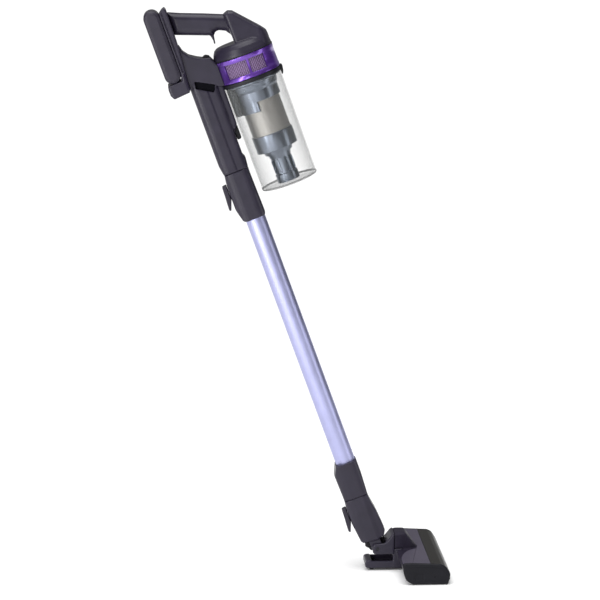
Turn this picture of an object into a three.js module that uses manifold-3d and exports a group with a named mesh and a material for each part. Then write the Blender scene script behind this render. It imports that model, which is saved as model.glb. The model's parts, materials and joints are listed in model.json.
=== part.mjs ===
// Cordless stick vacuum: handle unit with cyclone bin and battery, metal wand, hinged neck, floor head.
// Millimetres, +Z up, the head points along -Y. The floor is z = 0.
// Side profiles are lists of [forward, up, corner radius]; forward is measured along -Y.
import * as THREE from "three";
import { mergeVertices } from "three/addons/utils/BufferGeometryUtils.js";
import Module from "manifold-3d";

const wasm = await Module();
wasm.setup();

// ---------------------------------------------------------------- driving sizes
const LEAN_DEG = 19.9; // the stick leans back by this much from upright
const PIVOT_BACK = 60; // neck pivot behind the middle of the sole
const PIVOT_UP = 42; // neck pivot above the floor
const NECK_LENGTH = 107; // pivot to the seam between neck and wand
const WAND_LENGTH = 659; // seam to seam
const HEAD_WIDTH = 250;
const PIPE_R = 18.75;
const PIPE_WALL = 1.3;
const BIN_R = 54.5; // clear bin, outside, at its rim
const BIN_TAPER = 1.5; // the bin's foot is smaller in radius by this much
const BIN_WALL = 2.0;
const BIN_DEPTH = 201; // rim to foot
const BIN_BACK = 28.5; // back of the bin in front of the wand axis
const RING_LIP = 2; // the exhaust ring stands out from the bin by this much
const RING_HEIGHT = 43;
const BATTERY_LENGTH = 138.5;
const BATTERY_DEPTH = 30;
const BATTERY_WIDTH = 72;
const ROLLER_R = 16; // over the pile
const CORE_R = 10.5;
const WHEEL_R = 8;
const CELL_R = 9.1;

// walls and clearances
const GAP = 0.3; // between pieces that touch
const FIT = 0.4; // radial clearance of what slides or turns
const SHELL = 2.4; // moulded wall
const SPIGOT_R = PIPE_R - 2.75;
const SPIGOT_WALL = 1.6;
const SPIGOT_LENGTH = 36;
const SLEEVE_WALL = 1.35; // thinnest wall round the pipe, at the front
const LEVER_ROOM = 9; // extra depth behind the pipe for the release levers
const BORE_R = PIPE_R + GAP;
const SLEEVE_FRONT = BORE_R + SLEEVE_WALL;
const SLEEVE_BACK = -(SLEEVE_FRONT + LEVER_ROOM);
const COLUMN_HALF = BORE_R + 4.45; // half width of the arm, collar and neck
const BRACKET_HALF = COLUMN_HALF + 0.5;
const BIN_FORWARD = BIN_BACK + BIN_R; // bin axis in front of the wand axis
const RING_R = BIN_R + RING_LIP; // exhaust ring, outside
const GRIP_HALF = 16;
const EAR_OUT = COLUMN_HALF - 3.5; // neck ears, outer and inner faces
const EAR_IN = EAR_OUT - 5.6;
const CHEEK_OUT = EAR_OUT + 6; // knuckle cheeks, outer face
const TUNNEL_R = 15.5;
const TUNNEL_BORE_R = 12.8;
const PIN_R = 3;
const LEVER_PIN_R = 1.5;
const LEVER_HALF = 10.5;
const TONGUE_HALF = 5;
const CAP_THICK = 6; // head end caps
const HEAD_WALL = 3;
const TRAY_HALF = COLUMN_HALF + 0.5;

// ---------------------------------------------------------------- solids
function solid(geometry) {
  const g = geometry.index ? geometry.toNonIndexed() : geometry.clone();
  g.deleteAttribute("normal");
  g.deleteAttribute("uv");
  const merged = mergeVertices(g, 1e-4);
  const index = merged.index.array;
  const triVerts = [];
  for (let i = 0; i < index.length; i += 3) {
    const [a, b, c] = [index[i], index[i + 1], index[i + 2]];
    if (a !== b && b !== c && c !== a) triVerts.push(a, b, c);
  }
  const make = (tris) =>
    new wasm.Manifold(
      new wasm.Mesh({
        numProp: 3,
        vertProperties: new Float32Array(merged.attributes.position.array),
        triVerts: new Uint32Array(tris),
      }),
    );
  const made = make(triVerts);
  if (made.volume() > 0) return made;
  const turned = [];
  for (let i = 0; i < triVerts.length; i += 3) turned.push(triVerts[i], triVerts[i + 2], triVerts[i + 1]);
  return make(turned);
}

const union = (...solids) => solids.reduce((a, b) => a.add(b));

// corners with a third value are rounded to that radius
function rounded(points, steps = 3) {
  const out = [];
  const n = points.length;
  points.forEach(([x, y, r], i) => {
    if (!r) {
      out.push(new THREE.Vector2(x, y));
      return;
    }
    const p = new THREE.Vector2(x, y);
    const a = new THREE.Vector2(...points[(i + n - 1) % n].slice(0, 2)).sub(p);
    const b = new THREE.Vector2(...points[(i + 1) % n].slice(0, 2)).sub(p);
    const half = Math.acos(a.clone().normalize().dot(b.clone().normalize())) / 2;
    const reach = Math.min(r / Math.tan(half), a.length() * 0.49, b.length() * 0.49);
    const radius = reach * Math.tan(half);
    const middle = a.clone().normalize().add(b.clone().normalize()).normalize();
    const centre = p.clone().addScaledVector(middle, radius / Math.sin(half));
    const from = p.clone().addScaledVector(a.clone().normalize(), reach).sub(centre);
    const to = p.clone().addScaledVector(b.clone().normalize(), reach).sub(centre);
    let turn = to.angle() - from.angle();
    if (turn > Math.PI) turn -= 2 * Math.PI;
    if (turn < -Math.PI) turn += 2 * Math.PI;
    for (let s = 0; s <= steps; s++)
      out.push(from.clone().rotateAround(new THREE.Vector2(), (turn * s) / steps).add(centre));
  });
  return out;
}

// side profile extruded across the width, from x0 to x1
function prism(profile, x0, x1, steps = 3) {
  const shape = new THREE.Shape(rounded(profile, steps));
  const g = new THREE.ExtrudeGeometry(shape, { depth: x1 - x0, bevelEnabled: false });
  const toSide = new THREE.Matrix4().set(0, 0, -1, x1, -1, 0, 0, 0, 0, 1, 0, 0, 0, 0, 0, 1);
  return solid(g.applyMatrix4(toSide));
}

// plan outline of [x, forward, radius] extruded upwards from z0 to z1
function column(outline, z0, z1, steps = 3) {
  const points = rounded(outline, steps).map((p) => new THREE.Vector2(p.x, -p.y));
  const g = new THREE.ExtrudeGeometry(new THREE.Shape(points), { depth: z1 - z0, bevelEnabled: false });
  return solid(g.translate(0, 0, z0));
}

function box(x0, x1, f0, f1, z0, z1) {
  const g = new THREE.BoxGeometry(x1 - x0, f1 - f0, z1 - z0);
  return solid(g.translate((x0 + x1) / 2, -(f0 + f1) / 2, (z0 + z1) / 2));
}

// [radius, height] profile turned about an upright axis, about X, or about Y
function turned(profile, forward = 0, segments = 28) {
  const g = new THREE.LatheGeometry(profile.map(([r, z]) => new THREE.Vector2(r, z)), segments);
  return solid(g.rotateX(Math.PI / 2).translate(0, -forward, 0));
}
function turnedX(profile, forward, z, segments = 18) {
  const g = new THREE.LatheGeometry(profile.map(([r, x]) => new THREE.Vector2(r, x)), segments);
  return solid(g.rotateZ(-Math.PI / 2).translate(0, -forward, z));
}
function turnedY(profile, z, segments = 24) {
  const g = new THREE.LatheGeometry(profile.map(([r, f]) => new THREE.Vector2(r, -f)), segments);
  return solid(g.translate(0, 0, z));
}
const rod = (r, z0, z1) => [[0, z0], [r, z0], [r, z1], [0, z1]];
const pipe = (r, inner, z0, z1) => [[inner, z0], [r, z0], [r, z1], [inner, z1], [inner, z0]];

// a profile moved inwards by a wall
function inset(profile, wall) {
  const area = THREE.ShapeUtils.area(profile.map(([x, y]) => new THREE.Vector2(x, y)));
  const side = area > 0 ? 1 : -1;
  const n = profile.length;
  return profile.map(([x, y, r], i) => {
    const [ax, ay] = profile[(i + n - 1) % n];
    const [bx, by] = profile[(i + 1) % n];
    const d1 = new THREE.Vector2(x - ax, y - ay).normalize();
    const d2 = new THREE.Vector2(bx - x, by - y).normalize();
    const n1 = new THREE.Vector2(-d1.y, d1.x).multiplyScalar(side);
    const n2 = new THREE.Vector2(-d2.y, d2.x).multiplyScalar(side);
    const k = wall / (1 + n1.dot(n2));
    return [x + (n1.x + n2.x) * k, y + (n1.y + n2.y) * k, r ? Math.max(r - wall, 0) : 0];
  });
}

// ---------------------------------------------------------------- scene
const vacuum = new THREE.Group();
const stick = new THREE.Group();
stick.position.set(0, PIVOT_BACK, PIVOT_UP);
stick.rotation.x = (-LEAN_DEG * Math.PI) / 180;
const wand = new THREE.Group();
wand.position.z = NECK_LENGTH;
const body = new THREE.Group();
body.position.z = NECK_LENGTH + WAND_LENGTH;
vacuum.add(stick);
stick.add(wand, body);

const look = (color, roughness, metalness, opacity = 1) =>
  new THREE.MeshStandardMaterial({ color, roughness, metalness, opacity, transparent: opacity < 1 });
const CHARCOAL = look(0x3c3a46, 0.55, 0.0);
const GREY = look(0x55535f, 0.5, 0.0);
const BLACK = look(0x15151a, 0.6, 0.0);
const GUNMETAL = look(0x4d525c, 0.35, 0.3);
const PURPLE = look(0x5a2ca8, 0.2, 0.3);
const LAVENDER = look(0xa9a9dc, 0.3, 0.9);
const STEEL = look(0xb9b9bb, 0.35, 1.0);
const CLEAR = look(0xdde2e6, 0.05, 0.0, 0.3);
const SMOKE = look(0x2a2a2a, 0.08, 0.0, 0.8);
const PILE = look(0x6a4a9c, 0.95, 0.0);
const FOAM = look(0x2c2c30, 0.95, 0.0);
const BOARD = look(0x1f5c3a, 0.6, 0.0);
const WRAP = look(0x2f7fb0, 0.45, 0.0);

function part(name, shape, material, group = vacuum) {
  const m = shape.getMesh();
  const g = new THREE.BufferGeometry();
  g.setAttribute("position", new THREE.BufferAttribute(new Float32Array(m.vertProperties), 3));
  g.setIndex(new THREE.BufferAttribute(new Uint32Array(m.triVerts), 1));
  g.computeVertexNormals();
  const mesh = new THREE.Mesh(g, material);
  mesh.name = name;
  group.add(mesh);
}

// ================================================================ floor head
const HEAD_HALF = HEAD_WIDTH / 2;
const INNER_HALF = HEAD_HALF - CAP_THICK - GAP;
const ROLLER_F = 42;
const ROLLER_Z = ROLLER_R + 0.2;
const ROLLER_HALF = INNER_HALF - 6.5;
const MOTOR_F = 3;
const MOTOR_Z = 20;
const MOTOR_R = 12;
const SOCKET_FRONT = -13; // front end of the swivel socket
const HUMP_REAR = -28;
const TRAY_REAR = -83;
const WHEEL_F = TRAY_REAR + WHEEL_R + 4;
const WINDOW_F = 30; // the window starts here
const SOLE_TOP = 2.2;
const PULLEY_R = 7.5;
const MOTOR_PULLEY_R = 5;
const BELT_THICK = 1.2;
const BELT_X0 = ROLLER_HALF + 1.6;
const BELT_X1 = BELT_X0 + 3.6;

const headOutline = [
  [-22.8, 37, 3], [-20.6, 23, 8], [-16.4, 8.5, 10], [-4, 0.9, 6], [63.2, 0.6, 5], [67.3, 20, 8], [57.8, 34.4, 8],
  [49, 38.7, 6],
    [-6, 41.6, 6],
  [-20, 41.2, 4],
];
for (const [name, side] of [["end_cap_left", -1], ["end_cap_right", 1]]) {
  const x0 = side < 0 ? -HEAD_HALF : HEAD_HALF - CAP_THICK;
  const seat = side < 0 ? [x0 + CAP_THICK - 3, x0 + CAP_THICK + 1] : [x0 - 1, x0 + 3];
  let cap = prism(headOutline, x0, x0 + CAP_THICK);
  cap = cap.subtract(turnedX(rod(4 + FIT, ...seat), ROLLER_F, ROLLER_Z));
  part(name, cap, BLACK);
}

// chassis: a trough behind the roller, the swivel saddle and the tail that carries the wheels
const trough = [
  [-22.6, 35.6], [-20.4, 22, 14], [-5.8, SOLE_TOP + GAP, 12], [24, SOLE_TOP + GAP], [23, 12],
    [22.4, 36.6], [18, 36.6],
  [-19, 36.6, 2],
];
let chassis = prism(trough, -INNER_HALF, INNER_HALF);
chassis = chassis.subtract(
  prism([[-19, 40], [-17, 23, 12], [-4, 6, 10], [18, 6, 2], [18, 40]], HEAD_WALL - INNER_HALF,
    INNER_HALF - HEAD_WALL),
);
const tail = prism([[TRAY_REAR, 4.5, 3], [TRAY_REAR, 18, 3], [-30, 18], [-14, 18], [-14, 4.5]],
  -TRAY_HALF, TRAY_HALF);
const saddle = box(-TRAY_HALF, TRAY_HALF, HUMP_REAR, SOCKET_FRONT, 6, PIVOT_UP - GAP);
chassis = union(chassis, tail, saddle);
chassis = chassis.subtract(
  box(-TRAY_HALF + 3.4, TRAY_HALF - 3.4, TRAY_REAR + 3.2, HUMP_REAR - 3, 7, 30),
);
for (const side of [-1, 1]) {
  const [x0, x1] = side < 0 ? [-16.6, -7.4] : [7.4, 16.6];
  chassis = chassis.subtract(box(x0, x1, WHEEL_F - WHEEL_R - 1, WHEEL_F + WHEEL_R + 1, 0, 20));
}
chassis = chassis.subtract(turnedX(rod(2 + FIT / 2, -TRAY_HALF + 1, TRAY_HALF - 1), WHEEL_F, WHEEL_R));
chassis = chassis.subtract(turnedY(rod(TUNNEL_R + FIT, HUMP_REAR - 1, SOCKET_FRONT + 1), PIVOT_UP));
chassis = chassis.subtract(box(-TUNNEL_R, TUNNEL_R, SOCKET_FRONT - 3, 20, 24, PIVOT_UP));
// window for the belt and the shaft at the driven end
chassis = chassis.subtract(box(BELT_X0 - 1.2, INNER_HALF + 1, -8, 26, MOTOR_Z - 11, 31));
part("head_chassis", chassis, CHARCOAL);

// rear cover with the raised hump over the swivel
const HUMP_TOP = PIVOT_UP + 33; // ridge over the swivel
const SCOOP_FLOOR = 39.4; // the deck steps down to this beside the ridge
const chevronTip = 17;
const chevronEnd = -4;
const coverPlan = [
  [-INNER_HALF, -24], [-INNER_HALF, chevronEnd], [0, chevronTip], [INNER_HALF, chevronEnd],
    [INNER_HALF, -24],
];
const coverSide = [
  [-23, 36.6 + GAP], [-22, 38.8], [-19.6, 41, 1.5], [-6, 41.6], [17.5, 40.3], [17.5, 37.6], [-17, 38],
    [-18.6, 36.6 + GAP],
];
let cover = prism(coverSide, -INNER_HALF, INNER_HALF).intersect(column(coverPlan, 30, 60));
const humpSide = [
  [HUMP_REAR, PIVOT_UP], [HUMP_REAR, HUMP_TOP - 3, 2], [HUMP_REAR + 4, HUMP_TOP], [-8, HUMP_TOP, 5],
  [chevronTip - 1, 40.9], [chevronTip - 1, 38.6], [-17, 38.6], [-17, PIVOT_UP],
];
const humpPlan = [
  [-BRACKET_HALF, HUMP_REAR], [-BRACKET_HALF, -14, 8], [-19, 4, 8], [0, chevronTip - 0.6, 3], [19, 4, 8],
  [BRACKET_HALF, -14, 8], [BRACKET_HALF, HUMP_REAR],
];
for (const side of [-1, 1]) {
  const scoopPlan = [
    [side * 16, -25], [side * 16, 6], [side * 25, 4.6], [side * 37, -6, 12], [side * 63, -17, 20],
    [side * 98, -22.4], [side * 98, -25],
  ];
  cover = cover.subtract(column(scoopPlan, SCOOP_FLOOR, 60));
}
cover = cover.add(prism(humpSide, -70, 70).intersect(column(humpPlan, 36, HUMP_TOP + 1)));
cover = cover.subtract(box(-TRAY_HALF - GAP, TRAY_HALF + GAP, HUMP_REAR - 1, SOCKET_FRONT + GAP, 30,
  PIVOT_UP));
cover = cover.subtract(turnedY(rod(TUNNEL_R + FIT, HUMP_REAR - 1, SOCKET_FRONT), PIVOT_UP));
cover = cover.subtract(box(-TUNNEL_R + 1, TUNNEL_R - 1, SOCKET_FRONT - 1, 2, 30, 47));
part("head_cover", cover, CHARCOAL);

const stripPlan = [
  [-INNER_HALF, chevronEnd + GAP], [-INNER_HALF, WINDOW_F], [INNER_HALF, WINDOW_F],
    [INNER_HALF, chevronEnd + GAP],
  [0, chevronTip + GAP],
];
const stripSide = [[-8, 41.5], [WINDOW_F, 39.9], [WINDOW_F, 37.2], [-8, 38.4]];
part("head_strip", prism(stripSide, -INNER_HALF, INNER_HALF).intersect(column(stripPlan, 30, 50)), GREY);

const windowSide = [
  [WINDOW_F + GAP, 39.8], [49, 38.6, 6], [57.6, 34.2, 8], [67.2, 20, 8], [66.3, 8], [63.9, 8], [64.7, 19.6, 7],
  [56.1, 32.3, 7], [48.4, 36.1, 5], [WINDOW_F + GAP, 37],
];
part("head_window", prism(windowSide, -INNER_HALF, INNER_HALF), SMOKE);

// sole: a flat plate behind the roller with a thin lip in front of it
let sole = prism([[-4, 0], [63, 0], [65.6, 7.6], [63.4, 7.6], [61, SOLE_TOP], [-4, SOLE_TOP]],
  -INNER_HALF, INNER_HALF);
sole = sole.subtract(box(-ROLLER_HALF - 1.5, ROLLER_HALF + 1.5, ROLLER_F - ROLLER_R - 1, 61, -1, 10));
part("sole_plate", sole, GREY);

// roller, its pile and its pulley
const core = union(
  turnedX(rod(CORE_R, -ROLLER_HALF, ROLLER_HALF), ROLLER_F, ROLLER_Z),
  turnedX(rod(4, -HEAD_HALF + CAP_THICK - 2.4, HEAD_HALF - CAP_THICK + 2.4), ROLLER_F, ROLLER_Z),
  turnedX(rod(PULLEY_R, ROLLER_HALF - 1, BELT_X1 + 0.4), ROLLER_F, ROLLER_Z),
);
part("brush_core", core, CHARCOAL);
part("brush_pile", turnedX(pipe(ROLLER_R, CORE_R + GAP, 1 - ROLLER_HALF, ROLLER_HALF - 1), ROLLER_F,
  ROLLER_Z), PILE);

// drive: motor, pulley and belt
part("brush_motor", turnedX(rod(MOTOR_R, 40, BELT_X0 - 4), MOTOR_F, MOTOR_Z), STEEL);
const pulley = union(
  turnedX(rod(1.6, BELT_X0 - 4 + GAP, BELT_X1), MOTOR_F, MOTOR_Z),
  turnedX(rod(MOTOR_PULLEY_R, BELT_X0 - 0.4, BELT_X1 + 0.4), MOTOR_F, MOTOR_Z),
);
part("motor_pulley", pulley, STEEL);
function beltOutline(extra) {
  const d = new THREE.Vector2(ROLLER_F - MOTOR_F, ROLLER_Z - MOTOR_Z);
  const [r1, r2] = [MOTOR_PULLEY_R + extra, PULLEY_R + extra];
  const lean = Math.acos((r1 - r2) / d.length());
  const tilt = d.angle();
  const points = [];
  const arc = (cx, cz, r, from, to) => {
    for (let i = 0; i <= 10; i++) {
      const t = from + ((to - from) * i) / 10;
      points.push([cx + r * Math.cos(t), cz + r * Math.sin(t)]);
    }
  };
  arc(MOTOR_F, MOTOR_Z, r1, tilt + lean, tilt + 2 * Math.PI - lean);
  arc(ROLLER_F, ROLLER_Z, r2, tilt - lean, tilt + lean);
  return points;
}
const belt = prism(beltOutline(GAP + BELT_THICK), BELT_X0, BELT_X1);
part("drive_belt", belt.subtract(prism(beltOutline(GAP), BELT_X0 - 1, BELT_X1 + 1)), BLACK);

// tail wheels
part("wheel_axle", turnedX(rod(2, 1.5 - TRAY_HALF, TRAY_HALF - 1.5), WHEEL_F, WHEEL_R), STEEL);
for (const [name, x0] of [["tail_wheel_left", -16], ["tail_wheel_right", 8]]) {
  const tyre = [
    [2 + FIT, x0], [WHEEL_R - 1, x0], [WHEEL_R, x0 + 1], [WHEEL_R, x0 + 7], [WHEEL_R - 1, x0 + 8],
      [2 + FIT, x0 + 8],
    [2 + FIT, x0],
  ];
  part(name, turnedX(tyre, WHEEL_F, WHEEL_R), BLACK);
}

// swivel knuckle: a tunnel that turns in the head, with two cheeks for the neck
const CHEEK_IN = EAR_OUT + FIT + 0.2;
const KNUCKLE_REAR = -PIVOT_BACK - 9.5;
const cheekSide = [
  [KNUCKLE_REAR, PIVOT_UP - 8, 6], [KNUCKLE_REAR, PIVOT_UP + 9.6, 6], [-47, PIVOT_UP + 10],
    [-40.5, PIVOT_UP + 15.5],
  [-33.2, PIVOT_UP + 25.5], [HUMP_REAR - GAP, HUMP_TOP - 4], [HUMP_REAR - GAP, PIVOT_UP - 8],
];
let knuckle = prism(cheekSide, -CHEEK_OUT, CHEEK_OUT);
knuckle = knuckle.subtract(box(-CHEEK_IN, CHEEK_IN, KNUCKLE_REAR - 1, -44, 20, 60));
knuckle = knuckle.add(turnedY(rod(TUNNEL_R, -44, SOCKET_FRONT - 1), PIVOT_UP));
knuckle = knuckle.subtract(turnedY(rod(TUNNEL_BORE_R, -46, SOCKET_FRONT + 1), PIVOT_UP));
knuckle = knuckle.subtract(turnedX(rod(PIN_R + GAP, -CHEEK_OUT - 1, CHEEK_OUT + 1), -PIVOT_BACK, PIVOT_UP));
part("swivel_knuckle", knuckle, CHARCOAL);
for (const [name, x0] of [["pitch_pin_left", -CHEEK_OUT], ["pitch_pin_right", EAR_IN + 0.5]])
  part(name, turnedX(rod(PIN_R, x0, x0 + CHEEK_OUT - EAR_IN - 0.5), -PIVOT_BACK, PIVOT_UP), STEEL);

// ================================================================ neck
const SEAM_FRONT = SPIGOT_R + FIT + 1.4; // front face at the seam under the wand
const neckSide = [
  [SLEEVE_BACK + 1.5, NECK_LENGTH - GAP / 2, 1], [SEAM_FRONT - 0.2, NECK_LENGTH - GAP / 2, 1],
  [SEAM_FRONT + 0.3, NECK_LENGTH - 13.3], [SLEEVE_FRONT + 1.9, 71.2, 8], [SLEEVE_FRONT + 4.3, 43.1, 8],
  [SLEEVE_FRONT + 5.3, 28.2, 4], [SLEEVE_FRONT - 0.4, 19, 3], [13.6, 15.4], [SLEEVE_BACK + 7.7, 19],
  [SLEEVE_BACK + 4.8, 21.7], [SLEEVE_BACK, 58], [SLEEVE_BACK, NECK_LENGTH - 15],
];
const columnPlan = (rear, front, radius) => [
  [-COLUMN_HALF, rear, radius], [-COLUMN_HALF, front, radius], [COLUMN_HALF, front, radius],
    [COLUMN_HALF, rear, radius],
];
let neck = prism(neckSide, -COLUMN_HALF, COLUMN_HALF)
  .intersect(column(columnPlan(SLEEVE_BACK - 0.6, SLEEVE_FRONT + 5.6, 17), 10, NECK_LENGTH));
const ear = prism([[-10.5, 26], [-10.5, -10.5, 10.2], [10.5, -10.5, 10.2], [10.5, 26]], -EAR_OUT, EAR_OUT,
  6);
neck = neck.add(ear.subtract(box(-EAR_IN, EAR_IN, -12, 12, -12, 30)));
neck = neck.subtract(turned(rod(SPIGOT_R + FIT, 10, NECK_LENGTH + 1)));
neck = neck.subtract(turnedX(rod(PIN_R + GAP, -EAR_OUT - 1, EAR_OUT + 1), 0, 0));
const NECK_LEVER_UP = 66;
const LEVER_PIN_F = SLEEVE_BACK + 2.4;
const leverSlot = (up) =>
  box(-TONGUE_HALF - FIT, TONGUE_HALF + FIT, SLEEVE_BACK - 2, LEVER_PIN_F + 0.5, up - 4.4, up + 4.4).add(
    turnedX(rod(4.4, -TONGUE_HALF - FIT, TONGUE_HALF + FIT), LEVER_PIN_F, up),
  );
const leverHole = (up) => turnedX(rod(LEVER_PIN_R + GAP / 2, -9, 9), LEVER_PIN_F, up, 10);
neck = neck.subtract(leverSlot(NECK_LEVER_UP)).subtract(leverHole(NECK_LEVER_UP));
part("neck_tube", neck, CHARCOAL, stick);

// release levers, alike on the neck and on the wand collar: a paddle with a tongue on a cross pin
function lever(up, top, tip) {
  const paddle = [
    [SLEEVE_BACK - 0.7, up + 1], [SLEEVE_BACK - 0.7, top, 1.5], [SLEEVE_BACK - 8.8, top - 1.2, 2],
      [SLEEVE_BACK - 10.8, tip, 1.5],
    [SLEEVE_BACK - 7.4, tip - 1.5, 1.5], [SLEEVE_BACK - 1.4, up - 4.6],
  ];
  const tongue = union(
    box(-TONGUE_HALF, TONGUE_HALF, SLEEVE_BACK - 3, LEVER_PIN_F, up - 3, up + 3),
    turnedX(rod(3.6, -TONGUE_HALF, TONGUE_HALF), LEVER_PIN_F, up),
  );
  return prism(paddle, -LEVER_HALF, LEVER_HALF)
    .add(tongue)
    .subtract(turnedX(rod(LEVER_PIN_R + GAP / 2, -9, 9), LEVER_PIN_F, up, 10));
}
const leverPin = (up) => turnedX(rod(LEVER_PIN_R, -8.6, 8.6), LEVER_PIN_F, up, 10);
part("neck_lever", lever(NECK_LEVER_UP, 91.5, 46), GREY, stick);
part("neck_lever_pin", leverPin(NECK_LEVER_UP), STEEL, stick);

// bellows between the neck and the tunnel
const lean = (LEAN_DEG * Math.PI) / 180;
const tunnelMouth = (back, up) =>
  new THREE.Vector3(0, back * Math.cos(lean) - up * Math.sin(lean),
    back * Math.sin(lean) + up * Math.cos(lean));
const HOSE_R = 13;
const TUNNEL_REAR = 44 - PIVOT_BACK;
const hosePath = new THREE.CatmullRomCurve3([
  new THREE.Vector3(0, 2.4, 25), new THREE.Vector3(0, 2.8, 18), tunnelMouth(2.5, 5.5), tunnelMouth(-6, 0.4),
  tunnelMouth(-12, 0), tunnelMouth(TUNNEL_REAR + GAP, 0),
]);
const hoseRing = new THREE.Shape();
hoseRing.absarc(0, 0, HOSE_R, 0, 2 * Math.PI, false);
const hoseHole = new THREE.Path();
hoseHole.absarc(0, 0, HOSE_R - 1.6, 0, 2 * Math.PI, true);
hoseRing.holes.push(hoseHole);
const hose = new THREE.ExtrudeGeometry(hoseRing, { steps: 9, curveSegments: 6, extrudePath: hosePath });
part("bellows", solid(hose), BLACK, stick);

// ================================================================ wand
const FOOT_TOP = 70;
const COLLAR_LENGTH = 94;
const COLLAR_LOW = WAND_LENGTH - COLLAR_LENGTH;
const FOOT_SEAT = 36; // the pipe stops this far from the lower seam
const COLLAR_SEAT = 40; // and this far from the upper one
const footSide = [
  [SLEEVE_BACK + 1.5, GAP / 2, 1], [SEAM_FRONT, GAP / 2, 1], [SLEEVE_FRONT, FOOT_SEAT - 2],
  [SLEEVE_FRONT, FOOT_TOP - 1.5, 1], [0, FOOT_TOP - 1.5], [-SLEEVE_FRONT, FOOT_TOP, 1],
    [SLEEVE_BACK, 51, 5],
];
let foot = prism(footSide, -COLUMN_HALF, COLUMN_HALF)
  .intersect(column(columnPlan(SLEEVE_BACK - 0.6, SLEEVE_FRONT + 0.6, 17), -1, FOOT_TOP + 1));
foot = foot.subtract(turned(rod(BORE_R, FOOT_SEAT, FOOT_TOP + 1)));
foot = foot.add(turned(rod(SPIGOT_R, -SPIGOT_LENGTH, 1)));
foot = foot.subtract(turned(rod(SPIGOT_R - SPIGOT_WALL, -SPIGOT_LENGTH - 1, FOOT_SEAT + 1)));
part("wand_foot", foot, CHARCOAL, wand);

const pipeEnds = [FOOT_SEAT + GAP, WAND_LENGTH - COLLAR_SEAT - GAP];
part("wand_pipe", turned(pipe(PIPE_R, PIPE_R - PIPE_WALL, ...pipeEnds)), LAVENDER, wand);

const WAND_LEVER_UP = WAND_LENGTH - 44;
const collarSide = [
  [SLEEVE_BACK + 2.6, WAND_LENGTH - GAP / 2, 1], [SLEEVE_BACK + 0.8, WAND_LENGTH - 14],
  [SLEEVE_BACK, WAND_LENGTH - 30], [SLEEVE_BACK, COLLAR_LOW + 26, 4],
    [-SLEEVE_FRONT - 2.5, COLLAR_LOW + 3, 4],
  [4.7 - SLEEVE_FRONT, COLLAR_LOW, 2], [SLEEVE_FRONT - 0.2, COLLAR_LOW + 1, 1],
    [SLEEVE_FRONT + 0.8, COLLAR_LOW + 6],
  [SLEEVE_FRONT, WAND_LENGTH - COLLAR_SEAT], [SLEEVE_FRONT - 1, WAND_LENGTH - 12],
  [SLEEVE_FRONT - 0.3, WAND_LENGTH - GAP / 2, 1],
];
let collar = prism(collarSide, -COLUMN_HALF, COLUMN_HALF);
collar = collar.intersect(column(columnPlan(SLEEVE_BACK - 0.6, SLEEVE_FRONT + 1, 17), COLLAR_LOW - 1,
  WAND_LENGTH));
collar = collar.subtract(turned(rod(BORE_R, COLLAR_LOW - 1, WAND_LENGTH - COLLAR_SEAT)));
collar = collar.add(turned(rod(SPIGOT_R, WAND_LENGTH - 1, WAND_LENGTH + SPIGOT_LENGTH)));
collar = collar.subtract(
  turned(rod(SPIGOT_R - SPIGOT_WALL, WAND_LENGTH - COLLAR_SEAT - 1, WAND_LENGTH + SPIGOT_LENGTH + 1)),
);
collar = collar.subtract(leverSlot(WAND_LEVER_UP)).subtract(leverHole(WAND_LEVER_UP));
part("wand_collar", collar, CHARCOAL, wand);
part("wand_lever", lever(WAND_LEVER_UP, WAND_LENGTH - 18.5, WAND_LENGTH - 65), GREY, wand);
part("wand_lever_pin", leverPin(WAND_LEVER_UP), STEEL, wand);

// ================================================================ handle unit
// heights are measured from the seam above the wand
const RIM = 147; // rim of the bin
const RING_LOW = RIM + 8.5;
const RING_TOP = RING_LOW + RING_HEIGHT;
const PORT_HALF = 12; // way from the arm into the bin, half width
const BIN_LOW = RIM - BIN_DEPTH;
const COVER_TOP = RING_TOP + 23.5;
const BELOW = 120; // the way is clear this far below the bin, so that it can be drawn off
const binClear = turned(rod(RING_R + FIT, BIN_LOW - BELOW, RING_LOW), BIN_FORWARD);
const ringClear = turned(rod(RING_R + GAP, RING_LOW - 0.2, COVER_TOP + 4), BIN_FORWARD, 36);

const ARM_BACK = SLEEVE_BACK - 1.9;
const ARM_FRONT = SLEEVE_FRONT - 2;
const TOWER_BACK = BIN_FORWARD - 8.5;
const GRIP_BACK = ARM_BACK + 9.1;
const armSide = [
  [SLEEVE_BACK + 2.2, GAP / 2], [SLEEVE_FRONT - 0.8, GAP / 2], [SLEEVE_FRONT + 0.5, 6],
    [SLEEVE_FRONT + 2.2, 20],
  [ARM_FRONT, 25], [ARM_FRONT, 70, 6], [ARM_FRONT + 5.6, 80, 6], [BIN_BACK + 5.5, 84],
    [BIN_BACK + 7.5, RING_LOW + 40.5],
  [BIN_BACK + 2.5, RING_LOW + 41], [10, 216.5, 6], [1.1, 221, 10], [-11.9, 229.7, 12],
    [ARM_BACK + 12.1, 239.7, 8],
  [ARM_BACK + 8.8, 250.8], [ARM_BACK + 5.3, 250.8], [ARM_BACK, 166], [ARM_BACK, 20],
];
const gripSide = [
  [ARM_BACK + 0.3, 170], [GRIP_BACK, 315.4, 2], [0, 306], [40, 290.5], [TOWER_BACK - GAP, 277.3],
    [TOWER_BACK - GAP, 240],
  [TOWER_BACK - 7, 246.7, 5], [TOWER_BACK - 19.6, 252.6, 8],
  [47.1, 251.8, 4], [44.5, 247.6, 1], [38.7, 248.7], [ARM_BACK + 11.9, 273, 4],
  [ARM_BACK + 9.7, 250.8], [ARM_BACK + 12.3, 239], [ARM_BACK + 12.3, 200], [ARM_BACK + 2.3, 166],
];
const armPlan = [
  [-COLUMN_HALF, ARM_BACK, 16], [-COLUMN_HALF, BIN_BACK + 12], [COLUMN_HALF, BIN_BACK + 12],
    [COLUMN_HALF, ARM_BACK, 16],
];
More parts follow.
